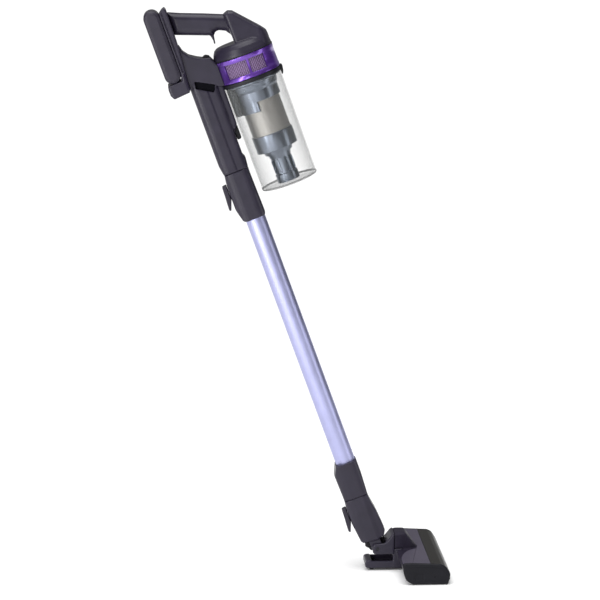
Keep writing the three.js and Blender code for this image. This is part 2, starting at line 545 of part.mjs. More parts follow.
const arm = prism(armSide, -BRACKET_HALF, BRACKET_HALF).intersect(column(armPlan, 0, 260));
const grip = prism(gripSide, -GRIP_HALF, GRIP_HALF);
const armInner = [
  [ARM_BACK + 4.1 + SHELL, SHELL + 0.2], [ARM_FRONT + 0.8 - SHELL, SHELL + 0.2], [ARM_FRONT - SHELL, 25],
  [ARM_FRONT - SHELL, 70], [ARM_FRONT + 5.6 - SHELL, 82], [BIN_BACK + 5.5, 86],
    [BIN_BACK + 7.5, RING_LOW + 38.5],
  [BIN_BACK + 1.5 - SHELL, RING_LOW + 36.5], [9.5 - SHELL, 214], [1 - SHELL, 218.6], [-13.5, 226],
  [ARM_BACK + 10.3, 236], [ARM_BACK + 7.9, 238], [ARM_BACK + SHELL, 166], [ARM_BACK + SHELL, 20],
];
const armCavity = prism(armInner, SHELL - COLUMN_HALF, COLUMN_HALF - SHELL).intersect(
  column(armPlan.map(([x, f, r]) => [x - Math.sign(x) * SHELL, f < 0 ? f + SHELL : f, r]), SHELL + 0.2,
    246),
);
const gripCavity = prism(
  [
    [GRIP_BACK + 6.2, 297], [0, 300], [40, 285], [TOWER_BACK - 3.5, 273], [TOWER_BACK - 3.5, 252],
      [62, 256],
    [GRIP_BACK + 6.2, 277],
  ],
  SHELL - GRIP_HALF, GRIP_HALF - SHELL,
);
let shell = union(arm, grip).subtract(binClear).subtract(ringClear);
shell = shell.subtract(armCavity
  .subtract(turned(rod(RING_R + GAP + SHELL, 0, 260), BIN_FORWARD))).subtract(gripCavity);
// way in for the wand spigot, and the port to the bin
shell = shell.subtract(turned(rod(SPIGOT_R + FIT, -1, 8)));
shell = shell.subtract(box(1 - PORT_HALF, PORT_HALF - 1, 10, BIN_BACK + 12, 104, 142));
// blind recess on each side under the bracket
const recess = [[-17.2, 180.7], [15.6, 162.4, 2], [9, 151.8, 2], [-20, 168.6, 2]];
for (const [x0, x1] of [[-BRACKET_HALF - 1, -COLUMN_HALF + 1.2], [COLUMN_HALF - 1.2, BRACKET_HALF + 1]])
  shell = shell.subtract(prism(recess, x0, x1));
// pocket for the trigger, slot for the bin button, hole for the trigger pin
const TRIGGER_F = 41;
const TRIGGER_UP = 262;
const TRIGGER_HALF = 6;
shell = shell.subtract(
  prism([[31, 240], [34, TRIGGER_UP], [47.4, TRIGGER_UP], [45.4, 240]], -TRIGGER_HALF - FIT,
    TRIGGER_HALF + FIT),
);
shell = shell.subtract(turnedX(rod(7 + FIT, -TRIGGER_HALF - FIT, TRIGGER_HALF + FIT), TRIGGER_F,
  TRIGGER_UP));
shell = shell.subtract(turnedX(rod(2 + GAP / 2, 1.6 - GRIP_HALF, GRIP_HALF - 1.6), TRIGGER_F, TRIGGER_UP));
const BUTTON_HALF = 9;
const buttonFront = 24.4;
shell = shell.subtract(box(-BUTTON_HALF - FIT, BUTTON_HALF + FIT, 11, buttonFront, 195, 225));
const halfSpace = (side) => (side < 0 ? box(-60, -GAP / 2, -80, 120, -10, 340) : box(GAP / 2, 60, -80,
  120, -10, 340));
part("body_shell_left", shell.intersect(halfSpace(-1)), CHARCOAL, body);
part("body_shell_right", shell.intersect(halfSpace(1)), CHARCOAL, body);

// trigger: a curved fin on a barrel
const fin = [
  [37.2, TRIGGER_UP - 4], [38.6, 246], [39.8, 238, 2], [39.4, 232.2], [41.8, 231.8, 1], [43.2, 240],
    [44.2, 247],
  [46, TRIGGER_UP - 4],
];
let trigger = prism(fin, -TRIGGER_HALF, TRIGGER_HALF)
  .add(turnedX(rod(7, -TRIGGER_HALF, TRIGGER_HALF), TRIGGER_F, TRIGGER_UP));
trigger = trigger.subtract(turnedX(rod(2 + GAP / 2, -10, 10), TRIGGER_F, TRIGGER_UP));
part("power_trigger", trigger, CHARCOAL, body);
part("trigger_pin", turnedX(rod(2, 2 - GRIP_HALF, GRIP_HALF - 2), TRIGGER_F, TRIGGER_UP), STEEL, body);

// button that frees the bin
part("bin_button", prism(
  [[11.4, 198], [11.4, 218.4, 1.5], [23, 215.4, 1.5], [buttonFront - FIT, 198]], -BUTTON_HALF,
    BUTTON_HALF), BLACK, body);

// guide that the bin's back runs along
let guide = prism(
  [[ARM_FRONT + 0.4, 54, 3], [ARM_FRONT + 0.4, 68], [BIN_BACK + 4.5, 72], [BIN_BACK + 4.5, 54, 3]], -8, 8);
part("bin_guide", guide.subtract(binClear), BLACK, body);

// motor cover: a tapered cap with the sloped housing on it
const TOWER_FRONT = BIN_FORWARD + RING_R + 0.1;
const towerSide = [
  [TOWER_BACK, RING_TOP + 4], [TOWER_BACK, 277.1, 1], [TOWER_BACK + 8.2, 280, 2],
    [TOWER_BACK + 16.1, 277.2, 2],
  [TOWER_FRONT - 1.3, RING_TOP + 25.9, 3], [TOWER_FRONT, RING_TOP + 22.2],
    [TOWER_FRONT - 0.2, RING_TOP + 4],
];
const capProfile = (r, cut) => [
  [0, RING_TOP + GAP], [r, RING_TOP + GAP], [r - 1.2, RING_TOP + 6], [r - 4.5, RING_TOP + 15],
    [r - 8.5, COVER_TOP - 3 - cut],
  [r - 14, COVER_TOP - cut], [0, COVER_TOP - cut],
];
let cap = turned(capProfile(RING_R, 0), BIN_FORWARD, 36);
cap = cap.add(prism(towerSide, -36, 36).intersect(turned(rod(RING_R, RING_TOP + 2, 300), BIN_FORWARD, 36)));
const towerCavity = prism(inset(towerSide, SHELL), SHELL - 36, 36 - SHELL).intersect(
  turned(rod(RING_R - SHELL, RING_TOP + 2, 300), BIN_FORWARD, 36),
);
cap = cap.subtract(towerCavity);
cap = cap.subtract(turned([
  [0, RING_TOP - 1], [RING_R - SHELL, RING_TOP - 1], [RING_R - SHELL - 1.4, RING_TOP + 6],
    [RING_R - SHELL - 4.6, RING_TOP + 14],
  [RING_R - SHELL - 9, COVER_TOP - 6], [0, COVER_TOP - 6],
], BIN_FORWARD, 36));
part("motor_cover", cap, CHARCOAL, body);

// exhaust ring with its windows, and the filter drum behind it
const RING_WALL = 2.5;
let ring = turned(pipe(RING_R, RING_R - RING_WALL, RING_LOW, RING_TOP), BIN_FORWARD, 36);
for (const side of [-1, 1])
  for (const [from, to] of [[-47, 0], [4, 37]]) {
    const wedge = [[0, 0]];
    for (let i = 0; i <= 4; i++) {
      const t = ((from + ((to - from) * i) / 4) * Math.PI) / 180;
      wedge.push([side * (RING_R + 14) * Math.cos(t), (RING_R + 14) * Math.sin(t)]);
    }
    const sector = column(wedge, RING_LOW + 8, RING_TOP - 8).translate([0, -BIN_FORWARD, 0]);
    ring = ring.subtract(sector);
  }
part("exhaust_ring", ring, PURPLE, body);
const FILTER_R = RING_R - RING_WALL - GAP;
part("exhaust_filter", turned(pipe(FILTER_R, FILTER_R - 1.2, RING_LOW + 1, RING_TOP - 1), BIN_FORWARD,
  36), STEEL, body);

// suction motor, its mount and its impeller
const MOTOR_CAN_R = 33;
const motorLow = RING_LOW + 22.5;
part("suction_motor", turned([
  [0, motorLow], [MOTOR_CAN_R, motorLow], [MOTOR_CAN_R, motorLow + 24], [MOTOR_CAN_R - 6, COVER_TOP - 8],
    [0, COVER_TOP - 8],
], BIN_FORWARD, 24), STEEL, body);
part("motor_mount", turned(pipe(FILTER_R - 1.2 - GAP, MOTOR_CAN_R + GAP, motorLow + 8, motorLow + 12),
  BIN_FORWARD), BLACK, body);
let impeller = union(
  turned(rod(34, motorLow - 5, motorLow - 3), BIN_FORWARD, 36),
  turned([[0, motorLow - 14], [5, motorLow - 14], [12, motorLow - 4], [0, motorLow - 4]], BIN_FORWARD, 24),
);
for (let i = 0; i < 9; i++) {
  const blade = box(7, 32, -0.7, 0.7, motorLow - 12, motorLow - 4).rotate([0, 0, i * 40]);
  impeller = impeller.add(blade.translate([0, -BIN_FORWARD, 0]));
}
part("impeller", impeller, GUNMETAL, body);
part("control_board", box(COLUMN_HALF - SHELL - 2, COLUMN_HALF - SHELL - GAP, -14, 12, 168, 198), BOARD,
  body);

// ---------------------------------------------------------------- battery and its bay
const BATTERY_FRONT = ARM_BACK - 5.2;
const BATTERY_BACK = BATTERY_FRONT - BATTERY_DEPTH;
const BATTERY_LOW = 191;
const BATTERY_TOP = BATTERY_LOW + BATTERY_LENGTH;
const BATTERY_HALF = BATTERY_WIDTH / 2;
const BAY_HALF = 30;
const bayBack = BATTERY_FRONT + GAP;
const bayTop = BATTERY_TOP - 11.5;
let bay = prism([
  [bayBack, BATTERY_LOW - 4], [bayBack, bayTop], [ARM_BACK + 2.3, bayTop + 5],
  [ARM_BACK + 7.5, bayTop + 7.4, 1], [ARM_BACK + 8.7, 315.6], [ARM_BACK - 0.7, 166], [ARM_BACK - 4.7, 166],
], -BAY_HALF, BAY_HALF);
bay = bay.add(prism([
  [BATTERY_BACK, BATTERY_LOW - GAP, 2], [BATTERY_BACK - 1, 172, 3], [BATTERY_BACK + 3.5, 164.2, 3],
    [ARM_BACK - 1.7, 166.4],
  [ARM_BACK - 1.1, BATTERY_LOW - GAP - 8],
  [bayBack + 1, BATTERY_LOW - GAP],
], -BATTERY_HALF, BATTERY_HALF));
// the grip's back lies in a shallow seat in the column
bay = bay.subtract(grip.add(box(-GRIP_HALF - GAP, GRIP_HALF + GAP, ARM_BACK + 10.3, ARM_BACK + 12.3, 200,
  320)));
bay = bay.subtract(box(3 - BATTERY_HALF, BATTERY_HALF - 3, BATTERY_BACK + 9.6, bayBack, 160,
  BATTERY_LOW - 4));
const RELEASE_HALF = 9;
bay = bay.subtract(box(-RELEASE_HALF - FIT, RELEASE_HALF + FIT, BATTERY_BACK - 2, BATTERY_BACK + 9, 172.6,
  184.4));
part("battery_bay", bay, CHARCOAL, body);
part("battery_release", box(-RELEASE_HALF, RELEASE_HALF, BATTERY_BACK - 1.8, BATTERY_BACK + 5, 173, 184),
  GREY, body);

const ROUND = BATTERY_DEPTH / 2 - 0.2;
const packSide = [
  [BATTERY_BACK, BATTERY_LOW, ROUND], [BATTERY_BACK, BATTERY_TOP, ROUND],
    [BATTERY_FRONT, BATTERY_TOP, ROUND],
  [BATTERY_FRONT, BATTERY_LOW, ROUND],
];
let pack = prism(packSide, -BATTERY_HALF, BATTERY_HALF, 6);
pack = pack.subtract(prism(inset(packSide, SHELL), SHELL - BATTERY_HALF, BATTERY_HALF - SHELL, 6));
pack = pack.subtract(box(-14 - FIT, 14 + FIT, BATTERY_FRONT - 4, BATTERY_FRONT + 1, BATTERY_LOW - 1,
  BATTERY_LOW + 27));
part("battery_case", pack, GREY, body);
const terminal = box(-14, 14, BATTERY_FRONT - 1.8, bayBack - GAP, BATTERY_LOW + 6, BATTERY_LOW + 26);
part("battery_terminal", terminal, BLACK, body);
const CELLS = 6;
const CELL_LENGTH = 65;
const cellPitch = 2 * CELL_R + 0.6;
const cellF = BATTERY_BACK + SHELL + 1 + CELL_R;
const cellLow = (BATTERY_LOW + BATTERY_TOP - (CELLS - 1) * cellPitch) / 2 + 4;
let cells = null;
for (let i = 0; i < CELLS; i++) {
  const cell = turnedX(rod(CELL_R, -CELL_LENGTH / 2, CELL_LENGTH / 2), cellF, cellLow + i * cellPitch, 14);
  cells = cells ? cells.add(cell) : cell;
}
for (const x0 of [-CELL_LENGTH / 2 - 0.4, CELL_LENGTH / 2 - 0.2])
  cells = cells.add(box(x0, x0 + 0.6, cellF - 4, cellF + 4, cellLow - 4,
    cellLow + (CELLS - 1) * cellPitch + 4));
part("battery_cells", cells, WRAP, body);

// ---------------------------------------------------------------- dust bin and cyclone
const footR = BIN_R - BIN_TAPER;
let bin = turned([
  [0, BIN_LOW], [footR - 5, BIN_LOW], [footR - 1.5, BIN_LOW + 1.5], [footR, BIN_LOW + 5], [BIN_R, RIM],
  [BIN_R - BIN_WALL, RIM], [footR - BIN_WALL, BIN_LOW + 5.5], [footR - 5, BIN_LOW + BIN_WALL + 0.4],
    [0, BIN_LOW + BIN_WALL + 0.4],
], BIN_FORWARD, 36);
bin = bin.subtract(box(-PORT_HALF - FIT, PORT_HALF + FIT, 20, 45, 90, RIM + 1));
part("dust_bin", bin, CLEAR, body);

let rim = turned(pipe(RING_R - 0.3, BIN_R - BIN_WALL - 2, RIM + GAP, RING_LOW - GAP), BIN_FORWARD, 36);
const catchSide = [
  [BIN_FORWARD + RING_R - 2, RIM + GAP], [BIN_FORWARD + BIN_R + 0.6, RIM],
    [BIN_FORWARD + BIN_R + 0.6, RIM - 13],
  [BIN_FORWARD + BIN_R + 4.3, RIM - 3], [BIN_FORWARD + BIN_R + 6, RIM + 9.5],
    [BIN_FORWARD + RING_R + 0.7, RIM + 9.5], [BIN_FORWARD + RING_R + 0.7, RING_LOW - GAP],
  [BIN_FORWARD + RING_R - 2, RING_LOW - GAP],
];
rim = rim.add(prism(catchSide, -9, 9));
part("bin_rim", rim, BLACK, body);

const CYCLONE_R = 40;
const MESH_R = 36.8;
let cyclone = turned([
  [MESH_R + GAP, 109], [CYCLONE_R, 109], [CYCLONE_R, RIM - 2], [BIN_R - BIN_WALL - FIT, RIM - 2],
    [BIN_R - BIN_WALL - FIT, RIM + GAP - 0.4],
  [BIN_R - BIN_WALL - 2 - GAP, RIM + GAP - 0.4], [BIN_R - BIN_WALL - 2 - GAP, RIM + 2],
    [MESH_R - 4, RIM + 2], [MESH_R - 4, RIM - 1],
  [MESH_R + GAP, RIM - 1], [MESH_R + GAP, 109],
], BIN_FORWARD);
const stepped = turned(pipe(CYCLONE_R, MESH_R + GAP, 91, 110), BIN_FORWARD)
  .intersect(box(-RING_R, RING_R, BIN_BACK, BIN_FORWARD - 8, 80, 120));
cyclone = cyclone.add(stepped);
let inlet = box(-PORT_HALF, PORT_HALF, 20, BIN_FORWARD - CYCLONE_R + 4, 91, RIM - 1);
inlet = inlet.intersect(turned(rod(BIN_R, 80, RIM), BIN_FORWARD));
inlet = inlet.subtract(turned(rod(MESH_R + GAP, 80, RIM + 5), BIN_FORWARD));
inlet = inlet.subtract(box(2 - PORT_HALF, PORT_HALF - 2, 20, 60, 102, RIM - 4));
cyclone = cyclone.add(inlet);
part("cyclone_body", cyclone, GUNMETAL, body);
part("cyclone_mesh", turned(pipe(MESH_R, MESH_R - 1, 46.4, RIM - 1 - GAP), BIN_FORWARD), STEEL, body);
const SKIRT_R = 38.8;
part("cyclone_skirt", turned([
  [SKIRT_R - 1.6, 14], [SKIRT_R, 14], [SKIRT_R, 46], [24, 46], [24, 43.6], [SKIRT_R - 4, 43.6],
    [28.5, 20], [22.8, 13],
  [22.8, 6], [24.4, 6], [28.5, 13.8], [SKIRT_R - 1.6, 17], [SKIRT_R - 1.6, 14],
], BIN_FORWARD), GUNMETAL, body);
part("cyclone_cone", turned([
  [16, BIN_LOW + 4], [21, BIN_LOW + 4], [21, BIN_LOW + 21], [19, BIN_LOW + 21.5], [19.4, 0], [22.5, 6],
    [22.5, 12], [20.9, 12],
  [20.9, 6.5], [17.6, 0], [17, BIN_LOW + 20], [16, BIN_LOW + 20], [16, BIN_LOW + 4],
], BIN_FORWARD, 32), GUNMETAL, body);
part("pre_filter", turned(pipe(BIN_R - BIN_WALL - 4, 12, RIM + 2 + GAP, RING_LOW + 4), BIN_FORWARD, 36),
  FOAM, body);

export default vacuum;
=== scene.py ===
import bpy
import bmesh
import json
import math
import numpy as np
from mathutils import Vector, Matrix


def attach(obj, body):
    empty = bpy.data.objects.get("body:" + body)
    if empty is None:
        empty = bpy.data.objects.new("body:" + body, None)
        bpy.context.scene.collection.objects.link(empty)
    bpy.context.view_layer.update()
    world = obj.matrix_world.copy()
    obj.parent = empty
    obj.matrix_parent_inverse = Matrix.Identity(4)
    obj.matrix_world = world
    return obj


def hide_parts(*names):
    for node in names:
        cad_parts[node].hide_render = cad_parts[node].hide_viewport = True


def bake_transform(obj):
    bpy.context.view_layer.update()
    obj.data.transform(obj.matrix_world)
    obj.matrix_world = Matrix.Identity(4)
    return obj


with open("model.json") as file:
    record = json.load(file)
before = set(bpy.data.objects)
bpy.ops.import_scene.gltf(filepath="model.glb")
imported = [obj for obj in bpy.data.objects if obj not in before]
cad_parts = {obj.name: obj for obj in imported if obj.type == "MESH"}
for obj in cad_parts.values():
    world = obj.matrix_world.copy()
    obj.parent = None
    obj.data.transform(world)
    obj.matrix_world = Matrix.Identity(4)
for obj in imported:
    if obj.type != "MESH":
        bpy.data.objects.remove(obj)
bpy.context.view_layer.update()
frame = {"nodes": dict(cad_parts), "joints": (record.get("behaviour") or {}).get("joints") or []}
MM = 0.001
joint = {j["name"]: j for j in frame["joints"]}

# ------------------------------------------------------------------ the two local frames, in mm
PIVOT = Vector(joint["neck_pitch"]["pos_m"])
UP = -Vector(joint["wand_slide"]["axis"]).normalized()
AHEAD = Vector((0, -UP.z, UP.y))
STICK = Matrix.Translation(PIVOT) @ Matrix(
    ((1, 0, 0, 0), (0, AHEAD.y, UP.y, 0), (0, AHEAD.z, UP.z, 0), (0, 0, 0, 1))
)
HEAD = Matrix(((1, 0, 0, 0), (0, -1, 0, 0), (0, 0, 1, 0), (0, 0, 0, 1)))
SEAM = 107.0  # neck to wand
TOP = SEAM + 659.0  # wand to handle unit
BIN_F = 83.0  # axis of the dust bin and the motor
PIPE_R = 18.75
SPIGOT_R, BORE_R = 16.0, 14.4  # plug that one tube puts in the next, and the air way through it
COLUMN_HALF = 23.5  # half the width of the column, the collar, the foot and the neck
PIN_HOLE_R = 3.3


def grid(step):
    return step


STEP = grid(1.15)


# ------------------------------------------------------------------ materials
def new_material(name):
    m = bpy.data.materials.new(name)
    m.use_nodes = True
    return m, m.node_tree.nodes, m.node_tree.links.new


def put(node, **values):
    """Sets a shader node's inputs. An underscore stands for a space in an input's name."""
    for name, value in values.items():
        node.inputs[name.replace("_", " ")].default_value = value
    return node


def mix_colours(n, link, share, first, second):
    """Mixes two colours, each a constant or a socket, by a share between 0 and 1."""
    mix = n.new("ShaderNodeMix")
    mix.data_type = "RGBA"
    link(share, mix.inputs[0])
    for socket, colour in ((mix.inputs[6], first), (mix.inputs[7], second)):
        if isinstance(colour, tuple):
            socket.default_value = colour
        else:
            link(colour, socket)
    return mix.outputs[2]


def material(name, base, rough, metal=0.0, grain=0.12, grain_size=0.0006, tint=0.10, wear=0.0,
             coat=0.0, sheen=0.0, alpha=1.0, spec=0.5):
    """Moulded or metal surface: mottled colour, uneven gloss, fine grain and paler worn edges."""
    m, n, link = new_material(name)
    shader = put(n["Principled BSDF"], Metallic=metal, Coat_Weight=coat, Coat_Roughness=0.12,
                 Sheen_Weight=sheen, Specular_IOR_Level=spec, Alpha=alpha)
    at = n.new("ShaderNodeTexCoord").outputs["Object"]
    blotch = put(n.new("ShaderNodeTexNoise"), Scale=38, Detail=5)
    link(at, blotch.inputs["Vector"])
    ramp = n.new("ShaderNodeValToRGB")
    for stop, place, change in zip(ramp.color_ramp.elements, (0.3, 0.7), (1 - tint, 1 + tint)):
        stop.position = place
        stop.color = (*[min(c * change, 1) for c in base], 1)
    link(blotch.outputs["Fac"], ramp.inputs["Fac"])
    colour = ramp.outputs["Color"]
    if wear:
        rub = put(n.new("ShaderNodeMapRange"), From_Min=0.53, From_Max=0.62, To_Max=wear)
        link(n.new("ShaderNodeNewGeometry").outputs["Pointiness"], rub.inputs["Value"])
        worn = (*[min(c * 3 + 0.02, 1) for c in base], 1)
        colour = mix_colours(n, link, rub.outputs["Result"], colour, worn)
    link(colour, shader.inputs["Base Color"])
    gloss = put(n.new("ShaderNodeMapRange"), To_Min=rough * 0.86, To_Max=min(rough * 1.14, 1))
    link(blotch.outputs["Fac"], gloss.inputs["Value"])
    link(gloss.outputs["Result"], shader.inputs["Roughness"])
    fine = put(n.new("ShaderNodeTexNoise"), Scale=1 / grain_size, Detail=2)
    link(at, fine.inputs["Vector"])
    bump = put(n.new("ShaderNodeBump"), Strength=grain, Distance=0.0001)
    link(fine.outputs["Fac"], bump.inputs["Height"])
    link(bump.outputs["Normal"], shader.inputs["Normal"])
    return m


def patterned(m, across, along, depth, hole, diagonal=False):
    """Adds a woven pattern, laid out on the piece's UVs in metres, to a material's bump and colour."""
    n, link = m.node_tree.nodes, m.node_tree.links.new
    shader = n["Principled BSDF"]
    split = n.new("ShaderNodeSeparateXYZ")
    link(n.new("ShaderNodeTexCoord").outputs["UV"], split.inputs[0])

    def op(name, a, b=None):
        node = n.new("ShaderNodeMath")
        node.operation = name
        for socket, value in zip(node.inputs, (a, b)):
            if isinstance(value, float):
                socket.default_value = value
            elif value is not None:
                link(value, socket)
        return node.outputs[0]

    u = op("MULTIPLY", split.outputs["X"], math.tau / across)
    v = op("MULTIPLY", split.outputs["Y"], math.tau / along)
    if diagonal:
        u, v = op("ADD", u, v), op("SUBTRACT", u, v)
    height = op("MULTIPLY", op("SINE", u), op("SINE", v))
    bump = put(n.new("ShaderNodeBump"), Strength=1.0, Distance=depth)
    link(height, bump.inputs["Height"])
    link(shader.inputs["Normal"].links[0].from_socket, bump.inputs["Normal"])
    link(bump.outputs["Normal"], shader.inputs["Normal"])
    solid = put(n.new("ShaderNodeMapRange"), From_Min=-0.1, From_Max=0.35)
    link(height, solid.inputs["Value"])
    thread = shader.inputs["Base Color"].links[0].from_socket
    mixed = mix_colours(n, link, solid.outputs["Result"], (*hole, 1), thread)
    link(mixed, shader.inputs["Base Color"])
    return m


CHARCOAL = material("charcoal_plastic", (0.017, 0.014, 0.027), 0.36, wear=0.2, grain=0.2, tint=0.14,
    spec=0.34)
CHARCOAL_2 = material("charcoal_plastic_fine", (0.018, 0.015, 0.028), 0.36, wear=0.2, grain=0.18,
    tint=0.12, spec=0.34)
COVER = material("charcoal_head_cover", (0.017, 0.014, 0.025), 0.48, wear=0.15, grain=0.2, tint=0.12,
    spec=0.12)
DECK = material("grey_deck_strip", (0.062, 0.055, 0.078), 0.48, wear=0.15, grain=0.2, spec=0.15)
GREY = material("grey_plastic", (0.022, 0.019, 0.031), 0.40, wear=0.2, grain=0.2, spec=0.3)
BLACK = material("black_plastic", (0.007, 0.007, 0.010), 0.42, grain=0.15, wear=0.2, spec=0.25)
CAP_BLACK = material("black_end_cap", (0.009, 0.009, 0.012), 0.45, grain=0.12, wear=0.25, spec=0.14)
# Near-black finish of the sheets in the bracket recesses: painted shade, standing in for the shadow deep in
# those recesses.
PAINTED_SHADE_BLACK = material("painted_shade_black", (0.003, 0.003, 0.005), 0.7, grain=0.1, spec=0.05)
RIM_GREY = material("tinted_rim", (0.20, 0.20, 0.20), 0.3, grain=0.03, alpha=0.6, spec=0.4)
PURPLE = material("purple_metallic", (0.13, 0.045, 0.36), 0.3, metal=0.75, grain=0.0, coat=0.7, tint=0.03)
GUNMETAL = material("gunmetal_plastic", (0.16, 0.18, 0.215), 0.3, metal=0.9, grain=0.05, tint=0.08)
DARK_METAL = material("dark_duct_plastic", (0.012, 0.013, 0.017), 0.35, metal=0.2, grain=0.05, tint=0.08,
    spec=0.3)
LAVENDER = material("lavender_anodised", (0.42, 0.43, 0.66), 0.44, metal=0.95, grain=0.06, tint=0.05)
STEEL = material("turned_steel", (0.55, 0.55, 0.56), 0.3, metal=1.0, grain=0.1)
PIN = material("blackened_pin", (0.02, 0.02, 0.024), 0.4, metal=0.4, grain=0.1, spec=0.3)
MOTOR = material("motor_case_metal", (0.5, 0.5, 0.52), 0.4, metal=1.0, grain=0.1)
RUBBER = material("ribbed_rubber", (0.008, 0.008, 0.011), 0.6, grain=0.3, spec=0.2)
FOAM = material("filter_foam", (0.03, 0.03, 0.036), 0.95, grain=1.0, grain_size=0.0015, sheen=0.2)
BOARD = material("circuit_board", (0.02, 0.13, 0.05), 0.5, grain=0.3, tint=0.3)
WRAP = material("cell_wrap", (0.03, 0.2, 0.45), 0.4, grain=0.05)
PILE = material("roller_pile", (0.10, 0.05, 0.22), 0.95, grain=1.0, grain_size=0.0009, sheen=0.6, tint=0.35)
SMOKE = material("smoked_window", (0.020, 0.019, 0.018), 0.32, grain=0.02, alpha=0.92, spec=0.06)
MESH = patterned(material("woven_steel_mesh", (0.50, 0.49, 0.46), 0.36, metal=0.95, grain=0.05, tint=0.06),
                 across=0.0012, along=0.0012, depth=0.00008, hole=(0.22, 0.21, 0.20))
VENT = patterned(material("exhaust_mesh", (0.28, 0.19, 0.34), 0.5, metal=0.4, grain=0.05),
                 across=0.0068, along=0.0050, depth=0.0004, hole=(0.05, 0.022, 0.075), diagonal=True)


def clear_plastic():
    """Thin clear polycarbonate: almost invisible face on, greyer where it is seen edge on."""
    m, n, link = new_material("clear_polycarbonate")
    shader = put(n["Principled BSDF"], Base_Color=(0.27, 0.28, 0.28, 1), IOR=1.49)
    haze = put(n.new("ShaderNodeTexNoise"), Scale=60, Detail=6)
    link(n.new("ShaderNodeTexCoord").outputs["Object"], haze.inputs["Vector"])
    gloss = put(n.new("ShaderNodeMapRange"), To_Min=0.03, To_Max=0.12)
    link(haze.outputs["Fac"], gloss.inputs["Value"])
    link(gloss.outputs["Result"], shader.inputs["Roughness"])
    facing = put(n.new("ShaderNodeLayerWeight"), Blend=0.35)
    seen = put(n.new("ShaderNodeMapRange"), From_Max=0.9, To_Min=0.02, To_Max=0.36)
    link(facing.outputs["Facing"], seen.inputs["Value"])
    link(seen.outputs["Result"], shader.inputs["Alpha"])
    return m


CLEAR = clear_plastic()


# ------------------------------------------------------------------ mesh helpers
def rounded(points, steps=8):
    """Closed outline whose corners with a third value are rounded to that radius."""
    out, n = [], len(points)
    for i, p in enumerate(points):
        here = np.array(p[:2], float)
        r = p[2] if len(p) > 2 else 0
        if not r:
            out.append(here)
            continue
        a = np.array(points[i - 1][:2], float) - here
        b = np.array(points[(i + 1) % n][:2], float) - here
        la, lb = np.hypot(*a), np.hypot(*b)
        a, b = a / la, b / lb
        half = math.acos(max(-1, min(1, float(a @ b)))) / 2
        reach = min(r / math.tan(half), la * 0.49, lb * 0.49)
        radius = reach * math.tan(half)
        mid = a + b
        centre = here + mid / np.hypot(*mid) * radius / math.sin(half)
        s, e = here + a * reach - centre, here + b * reach - centre
        start = math.atan2(s[1], s[0])
        turn = (math.atan2(e[1], e[0]) - start + math.pi) % math.tau - math.pi
        for k in range(steps + 1):
            t = start + turn * k / steps
            out.append(centre + radius * np.array((math.cos(t), math.sin(t))))
    return out


def soften(o, width, segments, sharp):
    """Rounds the edges that are sharper than an angle in degrees."""
    mod = o.modifiers.new("edge", "BEVEL")
    mod.width = width * MM
    mod.segments = segments
    mod.limit_method = "ANGLE"
    mod.angle_limit = math.radians(sharp)
    mod.harden_normals = True


def build(name, verts, faces, mat, body, slot, space=STICK, stands_for=(), bevel=0.0, sharp=35, uv=None):
    """Makes one piece from points in mm in a local frame."""
    bm = bmesh.new()
    made = [bm.verts.new(v) for v in verts]
    layer = bm.loops.layers.uv.new("UVMap") if uv is not None else None
    for k, f in enumerate(faces):
        face = bm.faces.new([made[i] for i in f])
        if layer:
            for loop, place in zip(face.loops, uv[k]):
                loop[layer].uv = place
    bmesh.ops.remove_doubles(bm, verts=bm.verts, dist=1e-4)
    bmesh.ops.transform(bm, matrix=space @ Matrix.Scale(MM, 4), verts=bm.verts)
    bmesh.ops.recalc_face_normals(bm, faces=bm.faces)
    for f in bm.faces:
        f.smooth = True
    limit = math.radians(sharp)
    for e in bm.edges:
        if len(e.link_faces) == 2 and e.calc_face_angle(0) > limit:
            e.smooth = False
    mesh = bpy.data.meshes.new(name)
    bm.to_mesh(mesh)
    bm.free()
    o = bpy.data.objects.new(name, mesh)
    bpy.context.scene.collection.objects.link(o)
    mesh.materials.append(mat)
    if bevel:
        soften(o, bevel, 3, sharp)
    if isinstance(body, str):
        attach(o, body)
    else:
        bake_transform(o)
    if stands_for:
        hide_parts(*stands_for)
    return o


def lathe(name, profile, mat, body, slot, centre=BIN_F, axis="up", level=0.0, segments=96, steps=5, **more):
    """Turns a [radius, height, corner radius] profile about an upright axis, or about X."""
    line = rounded(profile, steps)
    n = len(line)
    run = np.concatenate([[0], np.cumsum([np.hypot(*(line[(i + 1) % n] - line[i])) for i in range(n)])])
    widest = max(p[0] for p in line)
    verts, faces, uv = [], [], []
    for s in range(segments):
        t = math.tau * s / segments
        for r, h in line:
            if axis == "up":
                verts.append((r * math.sin(t), centre - r * math.cos(t), h))
            else:
                verts.append((h, centre + r * math.cos(t), level + r * math.sin(t)))
    for s in range(segments):
        a, b = s * math.tau / segments * widest * MM, (s + 1) * math.tau / segments * widest * MM
        for i in range(n):
            j, k = (i + 1) % n, (s + 1) % segments
            corners = [s * n + i, s * n + j, k * n + j, k * n + i]
            places = [(a, run[i] * MM), (a, run[i + 1] * MM), (b, run[i + 1] * MM), (b, run[i] * MM)]
            apart = {}  # on the axis, corners fall on one another
            for corner, place in zip(corners, places):
                apart.setdefault(tuple(np.round(verts[corner], 5)), (corner, place))
            if len(apart) >= 3:
                faces.append([corner for corner, _ in apart.values()])
                uv.append([place for _, place in apart.values()])
    return build(name, verts, faces, mat, body, slot, uv=uv, **more)


